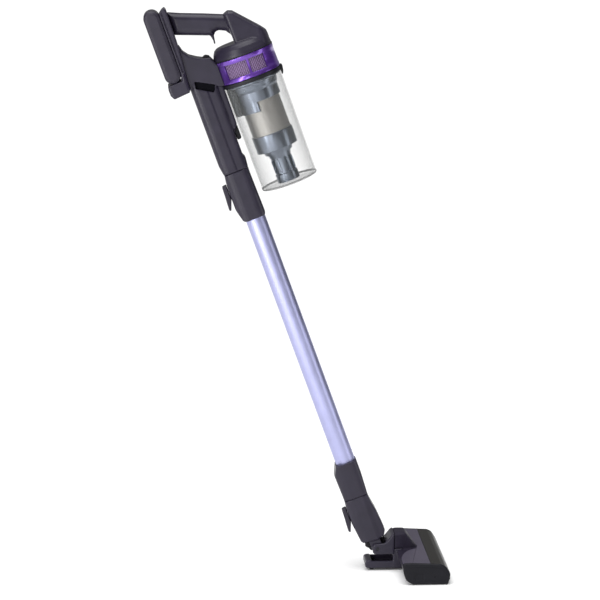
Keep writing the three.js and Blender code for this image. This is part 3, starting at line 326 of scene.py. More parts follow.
# ------------------------------------------------------------------ moulded solids from distance fields
def poly(points):
    """Signed distance to a closed outline."""
    p = np.array(rounded(points, 6))
    q = np.roll(p, -1, 0)

    def field(a, b):
        best, inside = None, False
        for (x0, y0), (x1, y1) in zip(p, q):
            ex, ey = x1 - x0, y1 - y0
            if ex * ex + ey * ey < 1e-12:
                continue
            wx, wy = a - x0, b - y0
            t = np.clip((wx * ex + wy * ey) / (ex * ex + ey * ey), 0, 1)
            d = (wx - ex * t) ** 2 + (wy - ey * t) ** 2
            best = d if best is None else np.minimum(best, d)
            c1, c2, c3 = b >= y0, b < y1, ex * wy > ey * wx
            inside = inside ^ ((c1 & c2 & c3) | ~(c1 | c2 | c3))
        return np.where(inside, -1, 1) * np.sqrt(best)

    return field


def slab(d, w, half, r):
    """A profile's distance d, carried across a width w to +-half, with edges rounded to r."""
    a, b = d + r, np.abs(w) - half + r
    return np.minimum(np.maximum(a, b), 0) + np.hypot(np.maximum(a, 0), np.maximum(b, 0)) - r


def smax(a, b, k):
    """Maximum, with the corner between a and b rounded over k. It cuts one solid by another."""
    h = np.maximum(k - np.abs(a - b), 0) / k
    return np.maximum(a, b) + h * h * k / 4


def smin(a, b, k):
    """Minimum, with the corner between a and b filled over k. It joins two solids."""
    return -smax(-a, -b, k)


def nets(field, lo, hi, step):
    """Surface nets over field < 0, then each point is moved onto the surface."""
    axes = [np.arange(a, b + step, step) for a, b in zip(lo, hi)]
    d = field(axes[0][:, None, None], axes[1][None, :, None], axes[2][None, None, :])
    shape = tuple(len(a) for a in axes)
    d = np.broadcast_to(d, shape)
    inside = d < 0
    size = np.array(shape) - 1
    offsets = [(i, j, k) for i in (0, 1) for j in (0, 1) for k in (0, 1)]
    corner = [d[i:i + size[0], j:j + size[1], k:k + size[2]] for i, j, k in offsets]
    count = sum((c < 0).astype(np.int8) for c in corner)
    active = (count > 0) & (count < 8)
    index = np.full(tuple(size), -1)
    index[active] = np.arange(active.sum())
    values = np.stack([c[active] for c in corner], 1)
    total, hits = np.zeros((len(values), 3)), np.zeros(len(values))
    for a in range(8):
        for b in range(a + 1, 8):
            if sum(abs(m - n) for m, n in zip(offsets[a], offsets[b])) != 1:
                continue
            va, vb = values[:, a], values[:, b]
            cut = (va < 0) != (vb < 0)
            t = np.where(cut, va / np.where(cut, va - vb, 1), 0)[:, None]
            total += np.where(cut[:, None], np.array(offsets[a]) + (np.array(offsets[b]) - offsets[a]) * t,
                0)
            hits += cut
    points = np.array(lo) + step * (np.argwhere(active) + total / hits[:, None])
    eps = 0.05
    for _ in range(2):
        x, y, z = points.T
        here = field(x, y, z)
        grad = np.stack([
            field(x + eps, y, z) - field(x - eps, y, z), field(x, y + eps, z) - field(x, y - eps, z),
            field(x, y, z + eps) - field(x, y, z - eps)], 1) / (2 * eps)
        size2 = np.maximum((grad ** 2).sum(1), 0.25)
        points = points - np.clip(here / size2, -step * 0.4, step * 0.4)[:, None] * grad
    faces = []
    for axis in range(3):
        u, v = [a for a in range(3) if a != axis]
        take = [slice(1, n) for n in size]
        take[axis] = slice(0, size[axis])
        near = inside[tuple(take)]
        beyond = list(take)
        beyond[axis] = slice(1, size[axis] + 1)
        change = np.argwhere(near != inside[tuple(beyond)])
        if not len(change):
            continue
        base = change + 1
        base[:, axis] -= 1
        step_u, step_v = np.eye(3, dtype=int)[u], np.eye(3, dtype=int)[v]
        ring = [base, base - step_u, base - step_u - step_v, base - step_v]
        faces.append(np.stack([index[tuple(r.T)] for r in ring], 1))
    return points, np.concatenate(faces)


def mould(name, field, lo, hi, step, mat, body, slot, mirror=False, **more):
    """Makes a piece from a distance field, within the box lo to hi."""
    verts, faces = nets(field, lo, hi, step)
    if mirror:
        verts = verts * np.array((-1, 1, 1))
    return build(name, verts.tolist(), faces.tolist(), mat, body, slot, **more)


def upright(x, f, centre, r):
    """Distance to an upright cylinder."""
    return np.hypot(x, f - centre) - r


def plan(*points):
    """Distance in the x-forward plane of an outline given for one side and mirrored."""
    side = list(points)
    other = [(-p[0], *p[1:]) for p in reversed(side)]
    return poly(side + other)


# ------------------------------------------------------------------ handle unit
K = TOP  # heights below are from the seam over the wand
HOUSING_REAR = 74.5  # where the grip ends in the motor housing
RING_R, RING_LOW, RING_TOP = 56.5, 155.5, 198.5
BIN_R, BIN_TOP = 54.5, 146.8

arm_side = poly([(-27.2, 0.3), (19.8, 0.3, 1), (20.9, 6), (22.6, 19, 2), (18.6, 25, 2), (18.6, 182),
    (-31.3, 182), (-31.3, 20, 6)])
arm_plan = plan((COLUMN_HALF, -31.3, 19), (COLUMN_HALF, -2.6, 0.8), (21.8, -0.8, 1.0), (21.8, 22, 13))
rib_side = poly([(6, 60), (18.4, 68, 4), (24.5, 76, 6), (29.5, 84, 5), (31.0, 100), (31.0, 160), (6, 160)])
bracket_side = poly([(-31.3, 166, 2), (-17.2, 180.7, 2), (15.6, 162.4, 1.5), (22, 157, 2), (31, 155.8),
    (40, 155.8), (40, 196), (31, 198.5, 1), (24, 212.5, 3), (10, 216.5, 6), (1.1, 221, 12),
    (-11.9, 229.7, 14), (-19.2, 239.7, 10), (-22.5, 252, 2), (-27, 252, 2)])
grip_side = poly([(-24, 272.5), (-22.3, 316, 2), (0, 306.2), (40, 290.8), (86, 272), (86, 232),
    (72, 240, 9), (67, 247.5, 6), (55.5, 252.9, 6), (47.4, 252.0, 4), (44.2, 247.8, 2), (38.7, 248.7, 3),
    (30, 251.9)])
trigger_root = poly([(36.5, 262), (37.6, 248, 2), (40.2, 241.5, 1), (44, 246, 2), (50, 256)])
recess = poly([(-18.6, 182, 2), (15.6, 163.6, 2), (9.5, 150.6, 3), (-20.5, 168.0, 3)])


def handle(x, f, h):
    k = h - K
    column = smax(arm_side(f, k), arm_plan(x, f), 2.5)
    rib = slab(rib_side(f, k), x, 18.0, 6.0)
    bracket = slab(bracket_side(f, k), x, 24.0, 3.0)
    d = smin(smin(column, rib, 1.5), bracket, 1.2)
    d = smax(d, -slab(recess(f, k), np.abs(x) - 26.0, 10.0, 1.0), 0.8)
    grip = slab(grip_side(f, k), x, 16.0, 12.5)
    d = smin(d, grip, 7.0)
    d = smin(d, slab(trigger_root(f, k), x, 7.5, 2.0), 3.0)
    d = smax(d, -np.maximum(upright(x, f, BIN_F, RING_R + 0.4), k - 226), 0.8)
    d = smax(d, f - (HOUSING_REAR - 0.4), 0.8)
    button = np.maximum(np.abs(x) - 9.5, np.maximum(np.abs(f - 17.6) - 7.0, np.abs(k - 214) - 10))
    d = smax(d, -button, 0.6)
    slot = np.maximum(np.abs(x) - 6.4, np.maximum(np.abs(f - 40.6) - 5.2, np.abs(k - 247) - 15))
    d = smax(d, -slot, 0.6)
    return smax(d, 0.22 - x, 0.7)


for name, flip in (("handle_shell_left", True), ("handle_shell_right", False)):
    mould(name, handle, (-1.5, -36, K - 2), (28, 78, K + 322), STEP, CHARCOAL, "handle_unit", "charcoal",
        mirror=flip, stands_for=["body_shell_left" if flip else "body_shell_right"])

# Thin near-black sheets set in the recesses under the bracket: painted shade, darkening each recess where
# its shadow falls.
shade_sheet_outline = poly([(-18.2, 181.6, 1.5), (15.2, 163.4, 1.5), (9.2, 151.0, 2.5), (-20.1, 168.4, 2.5)])
SHADE_SHEET_X = 16.4
for name, x0 in (("bracket_pocket_shade_sheet_left", -SHADE_SHEET_X), ("bracket_pocket_shade_sheet_right", SHADE_SHEET_X)):
    mould(name, lambda x, f, h: slab(shade_sheet_outline(f, h - K), x - x0, 0.9, 0.4), (x0 - 2.5, -22, K + 149),
        (x0 + 2.5, 18, K + 184), grid(0.8), PAINTED_SHADE_BLACK, "handle_unit", "black")

# sloped housing over the motor
tower_side = poly([(HOUSING_REAR, 203), (HOUSING_REAR, 277.1, 2), (82.7, 280.2, 4), (91, 277.0, 5),
    (138.2, 224.6, 4), (139.6, 218), (139.4, 203)])
cap_side = poly([(0, 199), (56.3, 199, 0.6), (55.2, 204.5, 3), (52.2, 213, 4), (48.5, 219, 3),
    (43, 222.4, 3), (0, 222.6)])


def tower(x, f, h):
    k = h - K
    half = 36.0
    narrow = half - 9.0 * np.clip((k - 215) / 65.0, 0, 1)
    body = slab(tower_side(f, k), x / narrow * half, half, 6.0)
    body = smax(body, upright(x, f, BIN_F, RING_R - 0.6), 4.0)
    cap = cap_side(np.hypot(x, f - BIN_F), k)
    d = smin(body, cap, 2.0)
    neck = slab(grip_side(f, k), x, 17.2, 12.5)
    return smin(d, smax(neck, HOUSING_REAR - f, 0.5), 5.0)


mould("motor_housing", tower, (-60, 22, K + 196), (60, 143, K + 284), STEP, CHARCOAL_2, "handle_unit",
    "charcoal", stands_for=["motor_cover"])


def ring_shell(name, radius, wall, low, high, windows, mat, body, slot, stands_for=()):
    """Open drum with rounded lips and a row of windows, given as pairs of angles."""
    angles = sorted({round(a, 3) for a in np.linspace(-180, 180, 121)} | {a for w in windows for a in w})
    angles = [a for a in angles if a < 180]
    # heights from an end, of its rounding, its rim and the step down to the windows
    lip, rim, step = 0.8, 7.6, 8.2
    rows = [low, low + lip, low + rim, low + step, high - step, high - rim, high - lip, high]
    bulge = [-0.9, 0, 0, -0.5, -0.5, 0, 0, -0.9]
    window_row = 3
    verts, faces = [], []
    for a in angles:
        t = math.radians(a)
        for h, out in zip(rows, bulge):
            verts.append(((radius + out) * math.cos(t), BIN_F + (radius + out) * math.sin(t), h))
    n, m = len(rows), len(angles)
    for i in range(m):
        middle = (angles[i] + (angles[(i + 1) % m] if i + 1 < m else 180)) / 2
        open_here = any(lo < middle < hi for lo, hi in windows)
        for j in range(n - 1):
            if open_here and j == window_row:
                continue
            k = (i + 1) % m
            faces.append([i * n + j, k * n + j, k * n + j + 1, i * n + j + 1])
    o = build(name, verts, faces, mat, body, slot, stands_for=stands_for, sharp=50)
    solid = o.modifiers.new("wall", "SOLIDIFY")
    solid.thickness = wall * MM
    solid.offset = -1
    solid.use_even_offset = True
    soften(o, 0.35, 2, 40)


WINDOWS = [(-47, 0), (4, 37), (143, 176), (-180, -133)]
ring_shell("exhaust_ring_band", RING_R, 2.4, K + RING_LOW, K + RING_TOP, WINDOWS, PURPLE, "handle_unit",
    "purple", stands_for=["exhaust_ring"])
lathe("exhaust_mesh_drum", [(53.4, K + 157, 0.3), (53.4, K + 197, 0.3), (52.2, K + 197), (52.2, K + 157)],
    VENT, "handle_unit", "mesh_steel", stands_for=["exhaust_filter"])
lathe("cap_trim", [(56.9, K + 199.0, 0.3), (57.0, K + 200.4, 0.5), (55.4, K + 200.6), (55.4, K + 198.9)],
    BLACK, "handle_unit", "black")

# rails of the battery bay, and the foot block that the battery stands on
plate = poly([(-36.2, 187), (-36.2, 318.2, 1), (-29.2, 323.4, 1), (-23.9, 325.4, 1.2), (-21.8, 321, 1),
    (-21.8, 300), (-23.5, 250), (-30.6, 171, 3), (-33.5, 166.6, 2), (-36.2, 168)])
arm_back = poly([(-28, 150), (-31.6, 166), (-22.4, 255), (0, 255), (0, 150)])
rail_gap = poly([(-32.9, 190), (-32.9, 330), (-30.9, 330), (-30.9, 190)])
foot_block = poly([(-66.6, 190.6, 3), (-67.6, 173, 4), (-63.4, 164.2, 4), (-33.6, 166.7, 3),
    (-31, 171.5, 2), (-30.4, 203, 1), (-36.0, 206, 1), (-39.0, 191.4, 2)])


def bay(x, f, h):
    k = h - K
    rails = slab(plate(f, k), x, 31.5, 2.2)
    rails = smax(rails, -slab(rail_gap(f, k), np.abs(x) - 32.5, 3.0, 0.6), 0.8)
    block = slab(foot_block(f, k), x, 35.8, 4.5)
    d = smin(rails, block, 2.5)
    seat = slab(grip_side(f, k), x, 16.4, 12.0)
    d = smax(d, -seat, 0.6)
    column = smax(arm_back(f, k), arm_plan(x, f) - 0.4, 1.0)
    d = smax(d, -column, 0.6)
    key = np.maximum(np.abs(x) - 9.6, np.maximum(f + 58.6, np.abs(k - 178.5) - 6.0))
    return smax(d, -key, 0.5)


mould("battery_bay_plate", bay, (-38, -70, K + 162), (38, -20, K + 328), STEP, CHARCOAL_2, "handle_unit",
    "charcoal", stands_for=["battery_bay"])

pill = poly([(-66.5, 191, 14.9), (-66.5, 329.5, 14.9), (-36.5, 329.5, 14.9), (-36.5, 191, 14.9)])


def battery(x, f, h):
    k = h - K
    edge = pill(f, k)
    shell = slab(edge, x, 35.0, 5.0)
    panel = slab(edge + 4.6, x, 36.0, 1.2)
    return smin(shell, panel, 0.5)


mould("battery_pack", battery, (-38, -69, K + 189), (38, -34, K + 332), STEP, GREY, "battery", "grey",
      stands_for=["battery_case"])


# ------------------------------------------------------------------ small moulded keys
def block(name, side, half, r, mat, body, slot, stands_for=(), step=0.6, pad=1.5):
    """A side outline with rounded edges, extruded across the width."""
    outline = poly(side)
    pts = np.array(rounded(side, 6))
    lo, hi = pts.min(0) - pad, pts.max(0) + pad
    mould(name, lambda x, f, h: slab(outline(f, h), x, half, r), (-half - pad, lo[0], lo[1]),
        (half + pad, hi[0], hi[1]), grid(step), mat, body, slot, stands_for=stands_for)


block("trigger_fin", [(37.2, K + 260), (38.2, K + 247, 4), (39.9, K + 238.5, 5), (39.2, K + 232.4, 0.6),
    (41.9, K + 231.8, 1), (43.2, K + 240, 4), (44.4, K + 247, 4), (45.6, K + 260)], 6.0, 1.6, CHARCOAL,
    "trigger", "charcoal", ["power_trigger"])
block("bin_release_button", [(11.6, K + 204), (11.6, K + 217.8, 2.5), (16.8, K + 219.3, 4),
    (23.6, K + 215.8, 2.5), (23.9, K + 204)], 8.9, 1.6, BLACK, "bin_button", "black", ["bin_button"])
block("battery_release_key", [(-68.0, K + 173.4, 1.5), (-68.3, K + 178.5, 6), (-68.0, K + 183.6, 1.5),
    (-61.5, K + 183.6), (-61.5, K + 173.4)], 9.0, 1.2, GREY, "battery_release", "grey", ["battery_release"])
block("bin_back_guide", [(19.0, K + 53, 3), (18.4, K + 66), (21.4, K + 74), (27.6, K + 78),
    (27.6, K + 53, 4)], 8.0, 1.2, BLACK, "handle_unit", "black", ["bin_guide"])

# ------------------------------------------------------------------ dust bin and cyclone
lathe("bin_shell_clear", [(0, K - 54), (47.5, K - 54, 0), (50.2, K - 53.6, 0), (52.4, K - 51.6, 0),
    (53.2, K - 48.0, 0), (53.25, K - 40), (BIN_R, K + BIN_TOP), (BIN_R - 2.0, K + BIN_TOP), (51.2, K - 44),
    (50.6, K - 48.4, 0), (48.2, K - 50.9, 0), (0, K - 51.2)], CLEAR, "bin", "clear",
    stands_for=["dust_bin"], segments=128, steps=1)
lathe("bin_foot_band", [(52.2, K - 52.2, 0.3), (52.9, K - 52.0, 0.4), (53.9, K - 48.8, 0.4),
    (53.2, K - 48.4, 0.3)], RIM_GREY, "bin", "clear", segments=128)
lathe("bin_top_rim", [(50.8, K + 147.4, 0.5), (55.9, K + 147.4, 1.2), (56.3, K + 154.9, 0.8),
    (50.8, K + 154.9, 0.5)], BLACK, "cyclone_unit", "black", stands_for=["bin_rim"], segments=128)
block("bin_catch", [(136.9, K + 154.9, 1), (136.9, K + 147.4), (137.3, K + 134.2, 2), (141.6, K + 144, 4),
    (143.3, K + 155.5, 3), (139.9, K + 157.3, 2)], 9.0, 2.0, BLACK, "cyclone_unit", "black", step=0.7)

cyclone_wall = [(37.4, K + 109, 0.4), (40.2, K + 109, 0.8), (40.2, K + 128, 2), (42.6, K + 133, 3),
    (44.2, K + 143, 1), (51.9, K + 144.6, 0.6), (51.9, K + 147.1), (33, K + 147.1), (33, K + 145.6),
    (37.4, K + 145.6)]
lathe("cyclone_drum", cyclone_wall, GUNMETAL, "cyclone_unit", "gunmetal", stands_for=["cyclone_body"],
    segments=112)
inlet_outer = poly([(29, 91.5, 2), (29, 145.4), (56, 145.4), (56, 91.5, 2)])


def inlet(x, f, h):
    k = h - K
    d = slab(inlet_outer(f, k), x, 11.0, 1.5)
    around_drum = np.abs(upright(x, f, BIN_F, 38.7)) - 1.4
    skirt = np.maximum(around_drum, np.maximum(np.abs(k - 105.5) - 14.5, f - 77))
    d = smin(d, skirt, 1.5)
    d = smax(d, upright(x, f, BIN_F, 51.9), 0.8)
    d = smax(d, -upright(x, f, BIN_F, 37.4), 0.5)
    hollow = np.maximum(np.abs(x) - 10.5, np.maximum(f - 34.5, np.abs(k - 122) - 17))
    return smax(d, -hollow, 0.8)


mould("cyclone_inlet", inlet, (-41, 26, K + 88), (41, 79, K + 148), STEP, GUNMETAL, "cyclone_unit",
    "gunmetal")
duct = poly([(29.6, 92.5, 2), (29.6, 145), (50, 145), (43, 92.5, 2)])


def duct_mouth(x, f, h):
    d = slab(duct(f, h - K), x, 22.0, 1.5)
    d = smax(d, upright(x, f, BIN_F, 51.8), 0.6)
    return smax(d, -upright(x, f, BIN_F, 40.9), 0.4)


mould("cyclone_duct_mouth", duct_mouth, (-25, 27, K + 90), (25, 52, K + 147), STEP, DARK_METAL,
    "cyclone_unit", "gunmetal")
lathe("cyclone_screen", [(36.8, K + 45.4), (36.8, K + 145.2), (35.9, K + 145.2), (35.9, K + 45.4)], MESH,
    "cyclone_unit", "mesh_steel", stands_for=["cyclone_mesh"], segments=112)
lathe("cyclone_skirt_ring", [(37.0, K + 14, 0.4), (38.8, K + 14, 0.5), (39.1, K + 30),
    (38.9, K + 45.4, 0.8), (30, K + 45.4, 0.5), (30, K + 43.4), (36.8, K + 43.0, 1.5), (36.6, K + 20, 2),
    (27.4, K + 14.6, 2), (24.4, K + 9, 1), (24.4, K + 5.6, 0.4), (25.8, K + 5.4, 0.4),
    (28.4, K + 12.4, 1.5), (36.8, K + 17.6, 1)], GUNMETAL, "cyclone_unit", "gunmetal",
    stands_for=["cyclone_skirt"], segments=112)
lathe("cyclone_cone_stem", [(16, K - 49.6, 0.3), (21.2, K - 49.6, 0.5), (21.2, K - 34.4, 0.5),
    (19.6, K - 33.0, 0.6), (19.4, K - 4, 2), (22.6, K + 5.2, 1), (22.6, K + 12, 0.4), (20.9, K + 12, 0.3),
    (20.9, K + 6.4, 1), (17.8, K - 2, 2), (17, K - 34), (16, K - 35)], GUNMETAL, "cyclone_unit",
    "gunmetal", stands_for=["cyclone_cone"], segments=96)
FINS = 8
FIN = [(19.2, -32), (21.4, -30), (21.6, -8), (19.4, -4)]  # radius and height of a fin's corners
for i in range(FINS):
    t = math.tau * (i + 0.5) / FINS
    out, along = np.array((math.cos(t), math.sin(t), 0)), np.array((-math.sin(t), math.cos(t), 0))
    fin = [np.array((0, BIN_F, K + h)) + out * r + along * side for side in (-0.7, 0.7) for r, h in FIN]
    build(f"stem_fin_{i + 1}", fin, [[0, 1, 2, 3], [7, 6, 5, 4], [0, 4, 5, 1], [1, 5, 6, 2], [2, 6, 7, 3],
        [3, 7, 4, 0]], GUNMETAL, "cyclone_unit", "gunmetal", bevel=0.25)

# ------------------------------------------------------------------ wand
lathe("wand_tube", [(PIPE_R, SEAM + 36.3, 0.4), (PIPE_R, TOP - 40.3, 0.4), (PIPE_R - 1.3, TOP - 40.3, 0.3),
    (PIPE_R - 1.3, SEAM + 36.3, 0.3)], LAVENDER, "wand", "lavender", centre=0, stands_for=["wand_pipe"],
    segments=128)

column_plan = plan((COLUMN_HALF, -31.4, 19), (COLUMN_HALF, 23.4, 17))
collar_side = poly([(-26.8, TOP - 0.2, 1.2), (-28.7, TOP - 14), (-29.4, TOP - 28), (-29.4, TOP - 68, 10),
    (-22.9, TOP - 92, 8), (-15.7, TOP - 94, 3), (19.2, TOP - 93, 1.5), (21.2, TOP - 88, 3),
    (20.0, TOP - 30), (19.7, TOP - 12), (20.1, TOP - 0.2, 1.2)])
foot_side = poly([(-27.9, SEAM + 0.2, 1.2), (18.2, SEAM + 0.2, 1.2), (20.4, SEAM + 40),
    (20.4, SEAM + 69.0, 1.5), (0, SEAM + 69.6), (-19.9, SEAM + 70.2, 2), (-29.4, SEAM + 51, 8)])
neck_side = poly([(-27.9, SEAM - 0.2, 1.2), (17.6, SEAM - 0.2, 1.2), (18.3, 94), (22.3, 71.2, 20),
    (24.9, 43.1, 14), (25.7, 28.6, 5), (20.4, 19.6, 4), (8, 16.6, 4), (-21.7, 19, 2), (-25, 22.5, 3),
    (-29.6, 58, 20), (-29.4, SEAM - 15)])
PIPE_CLEAR = PIPE_R + 0.3
UPPER_LEVER, LOWER_LEVER = TOP - 44, 66.0  # heights of the levers' pins


def lever_slot(d, x, f, h, up):
    """Cuts the slot that a lever's tongue stands in."""
    notch = np.maximum(np.abs(x) - 5.4, np.maximum(f + 26.2, np.abs(h - up) - 4.6))
    return smax(d, -notch, 0.5)


def collar(x, f, h):
    d = smax(collar_side(f, h), column_plan(x, f), 2.0)
    d = smax(d, -np.maximum(upright(x, f, 0, PIPE_CLEAR), h - (TOP - 40)), 0.8)
    r = np.hypot(x, f)
    d = smin(d, np.maximum(r - SPIGOT_R, np.abs(h - TOP - 15) - 20), 0.6)
    d = smax(d, -np.maximum(r - BORE_R, TOP - 41 - h), 0.5)
    return lever_slot(d, x, f, h, UPPER_LEVER)


mould("wand_top_collar", collar, (-26, -32, TOP - 97), (26, 24, TOP + 37), STEP, CHARCOAL_2, "wand",
    "charcoal", stands_for=["wand_collar"])


def foot(x, f, h):
    d = smax(foot_side(f, h), column_plan(x, f), 2.0)
    d = smax(d, -np.maximum(upright(x, f, 0, PIPE_CLEAR), SEAM + 36 - h), 0.8)
    r = np.hypot(x, f)
    d = smin(d, np.maximum(r - SPIGOT_R, np.abs(h - SEAM + 15.5) - 20), 0.6)
    return smax(d, -np.maximum(r - BORE_R, np.abs(h - SEAM) - 40), 0.5)


mould("wand_foot_socket", foot, (-26, -32, SEAM - 38), (26, 24, SEAM + 73), STEP, CHARCOAL_2, "wand",
    "charcoal", stands_for=["wand_foot"])

neck_plan = plan((COLUMN_HALF, -31.6, 19), (COLUMN_HALF, 7.0, 1.0), (20.4, 14.0, 1.0), (19.0, 27.8, 8))
ear_side = poly([(-10.5, 26), (-10.5, -10.5, 10.2), (10.5, -10.5, 10.2), (10.5, 26)])


def neck(x, f, h):
    d = smax(neck_side(f, h), neck_plan(x, f), 2.5)
    ears = slab(ear_side(f, h), np.abs(x) - 17.2, 2.8, 1.0)
    d = smin(d, ears, 2.5)
    d = smax(d, -upright(x, f, 0, SPIGOT_R + 0.4), 0.8)
    d = smax(d, -(np.hypot(f, h) - PIN_HOLE_R), 0.4)
    return lever_slot(d, x, f, h, LOWER_LEVER)


mould("neck_body", neck, (-26, -33, -13), (26, 29, SEAM + 2), STEP, CHARCOAL_2, "neck", "charcoal",
    stands_for=["neck_tube"])


def lever(name, up, top, tip, body, node):
    """Release lever: a paddle standing off the column on a tongue, with finger ridges down its back."""
    shape = poly([(-29.7, up + 2.5, 1), (-29.7, top, 1.5), (-38.4, top - 1.0, 3), (-40.4, tip, 1.5),
                  (-37.0, tip - 1.5, 1.5), (-30.2, up - 4.0, 3)])
    tongue = poly([(-31.5, up - 3, 1), (-31.5, up + 3, 1), (-27, up + 3.4, 3), (-24.2, up, 3),
        (-27, up - 3.4, 3)])
    pitch = 3.2

    def field(x, f, h):
        d = smin(slab(shape(f, h), x, 10.5, 2.0), slab(tongue(f, h), x, 4.9, 0.8), 1.2)
        on_back = np.clip((tip + 21 - h) / 4, 0, 1) * np.clip((-35.5 - f) / 1.5, 0,
            1) * np.clip((8.2 - np.abs(x)) / 1.5, 0, 1)
        return d + 0.45 * np.sin((h - tip) * math.tau / pitch) * on_back

    mould(name, field, (-12.5, -43, tip - 4), (12.5, -22, top + 3), grid(0.7), GREY, body, "grey",
          stands_for=[node])


lever("upper_release_lever", UPPER_LEVER, TOP - 18.5, TOP - 65, "wand_lever", "wand_lever")
lever("lower_release_lever", LOWER_LEVER, 91.5, 46, "neck_lever", "neck_lever")

# ribbed hose between the neck and the swivel
lean = math.asin(UP.y)


def mouth(back, up):
    """A point back and up from the pivot in the head's frame, as forward and height of the stick."""
    return np.array((-(back * math.cos(lean) - up * math.sin(lean)),
        back * math.sin(lean) + up * math.cos(lean)))


route = [np.array((-4.5, 27.0)), np.array((-7.5, 18.0)), np.array((-7.0, 8.0)), mouth(-3.0, 1.2),
    mouth(-10, 0), mouth(-15.2, 0)]


def spline(points, t):
    """Point of a Catmull-Rom curve, at t from 0 to 1."""
    n = len(points) - 1
    i = min(int(t * n), n - 1)
    u = t * n - i
    a, b, c, d = points[max(i - 1, 0)], points[i], points[i + 1], points[min(i + 2, n)]
    return 0.5 * (2 * b + (c - a) * u + (2 * a - 5 * b + 4 * c - d) * u * u + (3 * b - a - 3 * c + d)
        * u ** 3)


HOSE_R, RIB, RIBS, HOSE_WALL = 12.2, 0.9, 11, 1.2
rings, around = 96, 48
verts = []
for wall in (0.0, HOSE_WALL):
    for i in range(rings + 1):
        t = i / rings
        here = spline(route, t)
        ahead = spline(route, min(t + 0.01, 1)) - spline(route, max(t - 0.01, 0))
        ahead /= np.hypot(*ahead)
        side = np.array((ahead[1], -ahead[0]))
        r = HOSE_R + RIB * math.cos(math.tau * t * RIBS) - wall
        for j in range(around):
            a = math.tau * j / around
            p = here + side * r * math.cos(a)
            verts.append((r * math.sin(a), p[0], p[1]))
inside = (rings + 1) * around
faces = []
for i in range(rings):
    for j in range(around):
        k = (j + 1) % around
        a, b, c, d = i * around + j, i * around + k, (i + 1) * around + k, (i + 1) * around + j
        faces += [[a, b, c, d], [inside + d, inside + c, inside + b, inside + a]]
for end in (0, rings * around):
    faces += [[end + j, end + (j + 1) % around, inside + end + (j + 1) % around, inside + end + j]
        for j in range(around)]
metres = STICK @ Matrix.Scale(MM, 4)
hinge = ("neck", "knuckle", metres @ Vector((0, *route[1])), metres @ Vector((0, *route[4])))
build("neck_hose", verts, faces, RUBBER, hinge, "rubber", stands_for=["bellows"], sharp=80)

# ------------------------------------------------------------------ floor head (forward, up from the floor)
PIVOT_BACK, PIVOT_UP = PIVOT.y / MM, PIVOT.z / MM
INNER = 125.0 - 6.3  # half the head's width, less an end cap
ROLLER_F, ROLLER_UP = 42.0, 16.2
SWIVEL_R = 15.9  # bore that the knuckle's collar turns in
outline = poly([(-22.8, 37, 4), (-20.6, 23, 12), (-16.4, 8.5, 14), (-4, 0.9, 10), (63.2, 0.6, 7),
    (67.3, 20, 10), (58, 34.6, 10), (49, 38.8, 8), (-6, 41.6, 8), (-20, 41.2, 5)])
port = poly([(0, 8.6, 2), (0, 22.2, 2), (17, 22.2, 2), (17, 8.6, 2)])


def end_cap(x, f, h):
    d = slab(outline(f, h), x - 120.9, 4.0, 3.2)
    rim = np.maximum(np.abs(outline(f, h) + 6.5) - 0.45, 124.4 - x)
    d = smax(d, -rim, 0.5)
    d = smax(d, -np.maximum(port(f, h), 124.0 - x), 0.5)
    screw = np.maximum(np.hypot(f - 38.1, h - 15.8) - 1.3, 123.9 - x)
    d = smax(d, -screw, 0.4)
    seat = np.maximum(np.hypot(f - ROLLER_F, h - ROLLER_UP) - 4.4, x - 122)
    d = smax(d, -seat, 0.4)
    return smax(d, 119.0 - x, 0.4)


for name, flip, node in (("head_end_cap_left", True, "end_cap_left"), ("head_end_cap_right", False,
        "end_cap_right")):
    mould(name, end_cap, (117, -26, -1), (127, 70, 44), grid(0.8), CAP_BLACK, "head", "black",
        mirror=flip, space=HEAD, stands_for=[node])

ridge_side = poly([(-28, 42), (-28, 70.5, 2), (-24, 73.0, 4), (-8, 73.0, 7), (16.5, 40.8), (16.5, 38.8),
    (-17, 38.8), (-17, 42)])
ridge_plan = plan((24.2, -30, 3), (23.4, -14, 12), (19.6, 4, 12), (0.01, 17.4, 4))
deck = poly([(-23, 37), (-22, 38.9, 1), (-19.6, 41.0, 3), (-6, 41.7, 8), (17.5, 40.4), (17.5, 38.0),
    (-17, 38.2), (-18.6, 36.9)])
# half-width places along the scoop's edge, how far forward it is there, and the scoop's floor
SCOOP_X = np.array((0.0, 20.0, 24.5, 30.0, 37.0, 48.0, 63.0, 80.0, 98.0, 119.0))
SCOOP_F = np.array((18.0, 12.5, 6.0, 0.5, -5.0, -11.0, -16.6, -20.4, -23.4, -26.0))
SCOOP_FLOOR = 39.4


def chevron(x, f):
    """Rear edge of the deck strip, which comes to a point in the middle."""
    return f - (17.0 - 21.0 * np.abs(x) / INNER)


def cover(x, f, h):
    plate = smax(slab(deck(f, h), x, INNER, 0.5), np.maximum(chevron(x, f), h - SCOOP_FLOOR), 0.4)
    crown = 73.2 - 3.0 * (np.abs(x) / 24.0) ** 3
    ridge = smax(smax(ridge_side(f, h), ridge_plan(x, f), 3.0), h - crown, 4.0)
    d = smin(plate, ridge, 3.0)
    saddle = np.maximum(np.abs(x) - 24.4, np.maximum(f + 12.7, h - 42.0))
    d = smax(d, -saddle, 0.4)
    tunnel = np.maximum(np.hypot(x, h - PIVOT_UP) - SWIVEL_R, f + 13.0)
    return smax(d, -tunnel, 0.4)


def deck_skin(x, f, h):
    scoop = (np.interp(np.abs(x), SCOOP_X, SCOOP_F) - f) * 0.75
    d = smax(slab(deck(f, h), x, INNER, 0.5), chevron(x, f), 0.5)
    return smax(smax(d, scoop, 1.2), SCOOP_FLOOR - 0.2 - h, 0.3)


FINE = grid(1.0)
mould("head_top_cover", cover, (-120, -30, 35), (120, 19, 78), FINE, COVER, "head", "charcoal", space=HEAD,
      stands_for=["head_cover"])
for name, flip in (("head_deck_left", True), ("head_deck_right", False)):
    mould(name, deck_skin, (12, -27, 37.5), (120, 19, 44), FINE, DECK, "head", "charcoal", mirror=flip,
        space=HEAD)


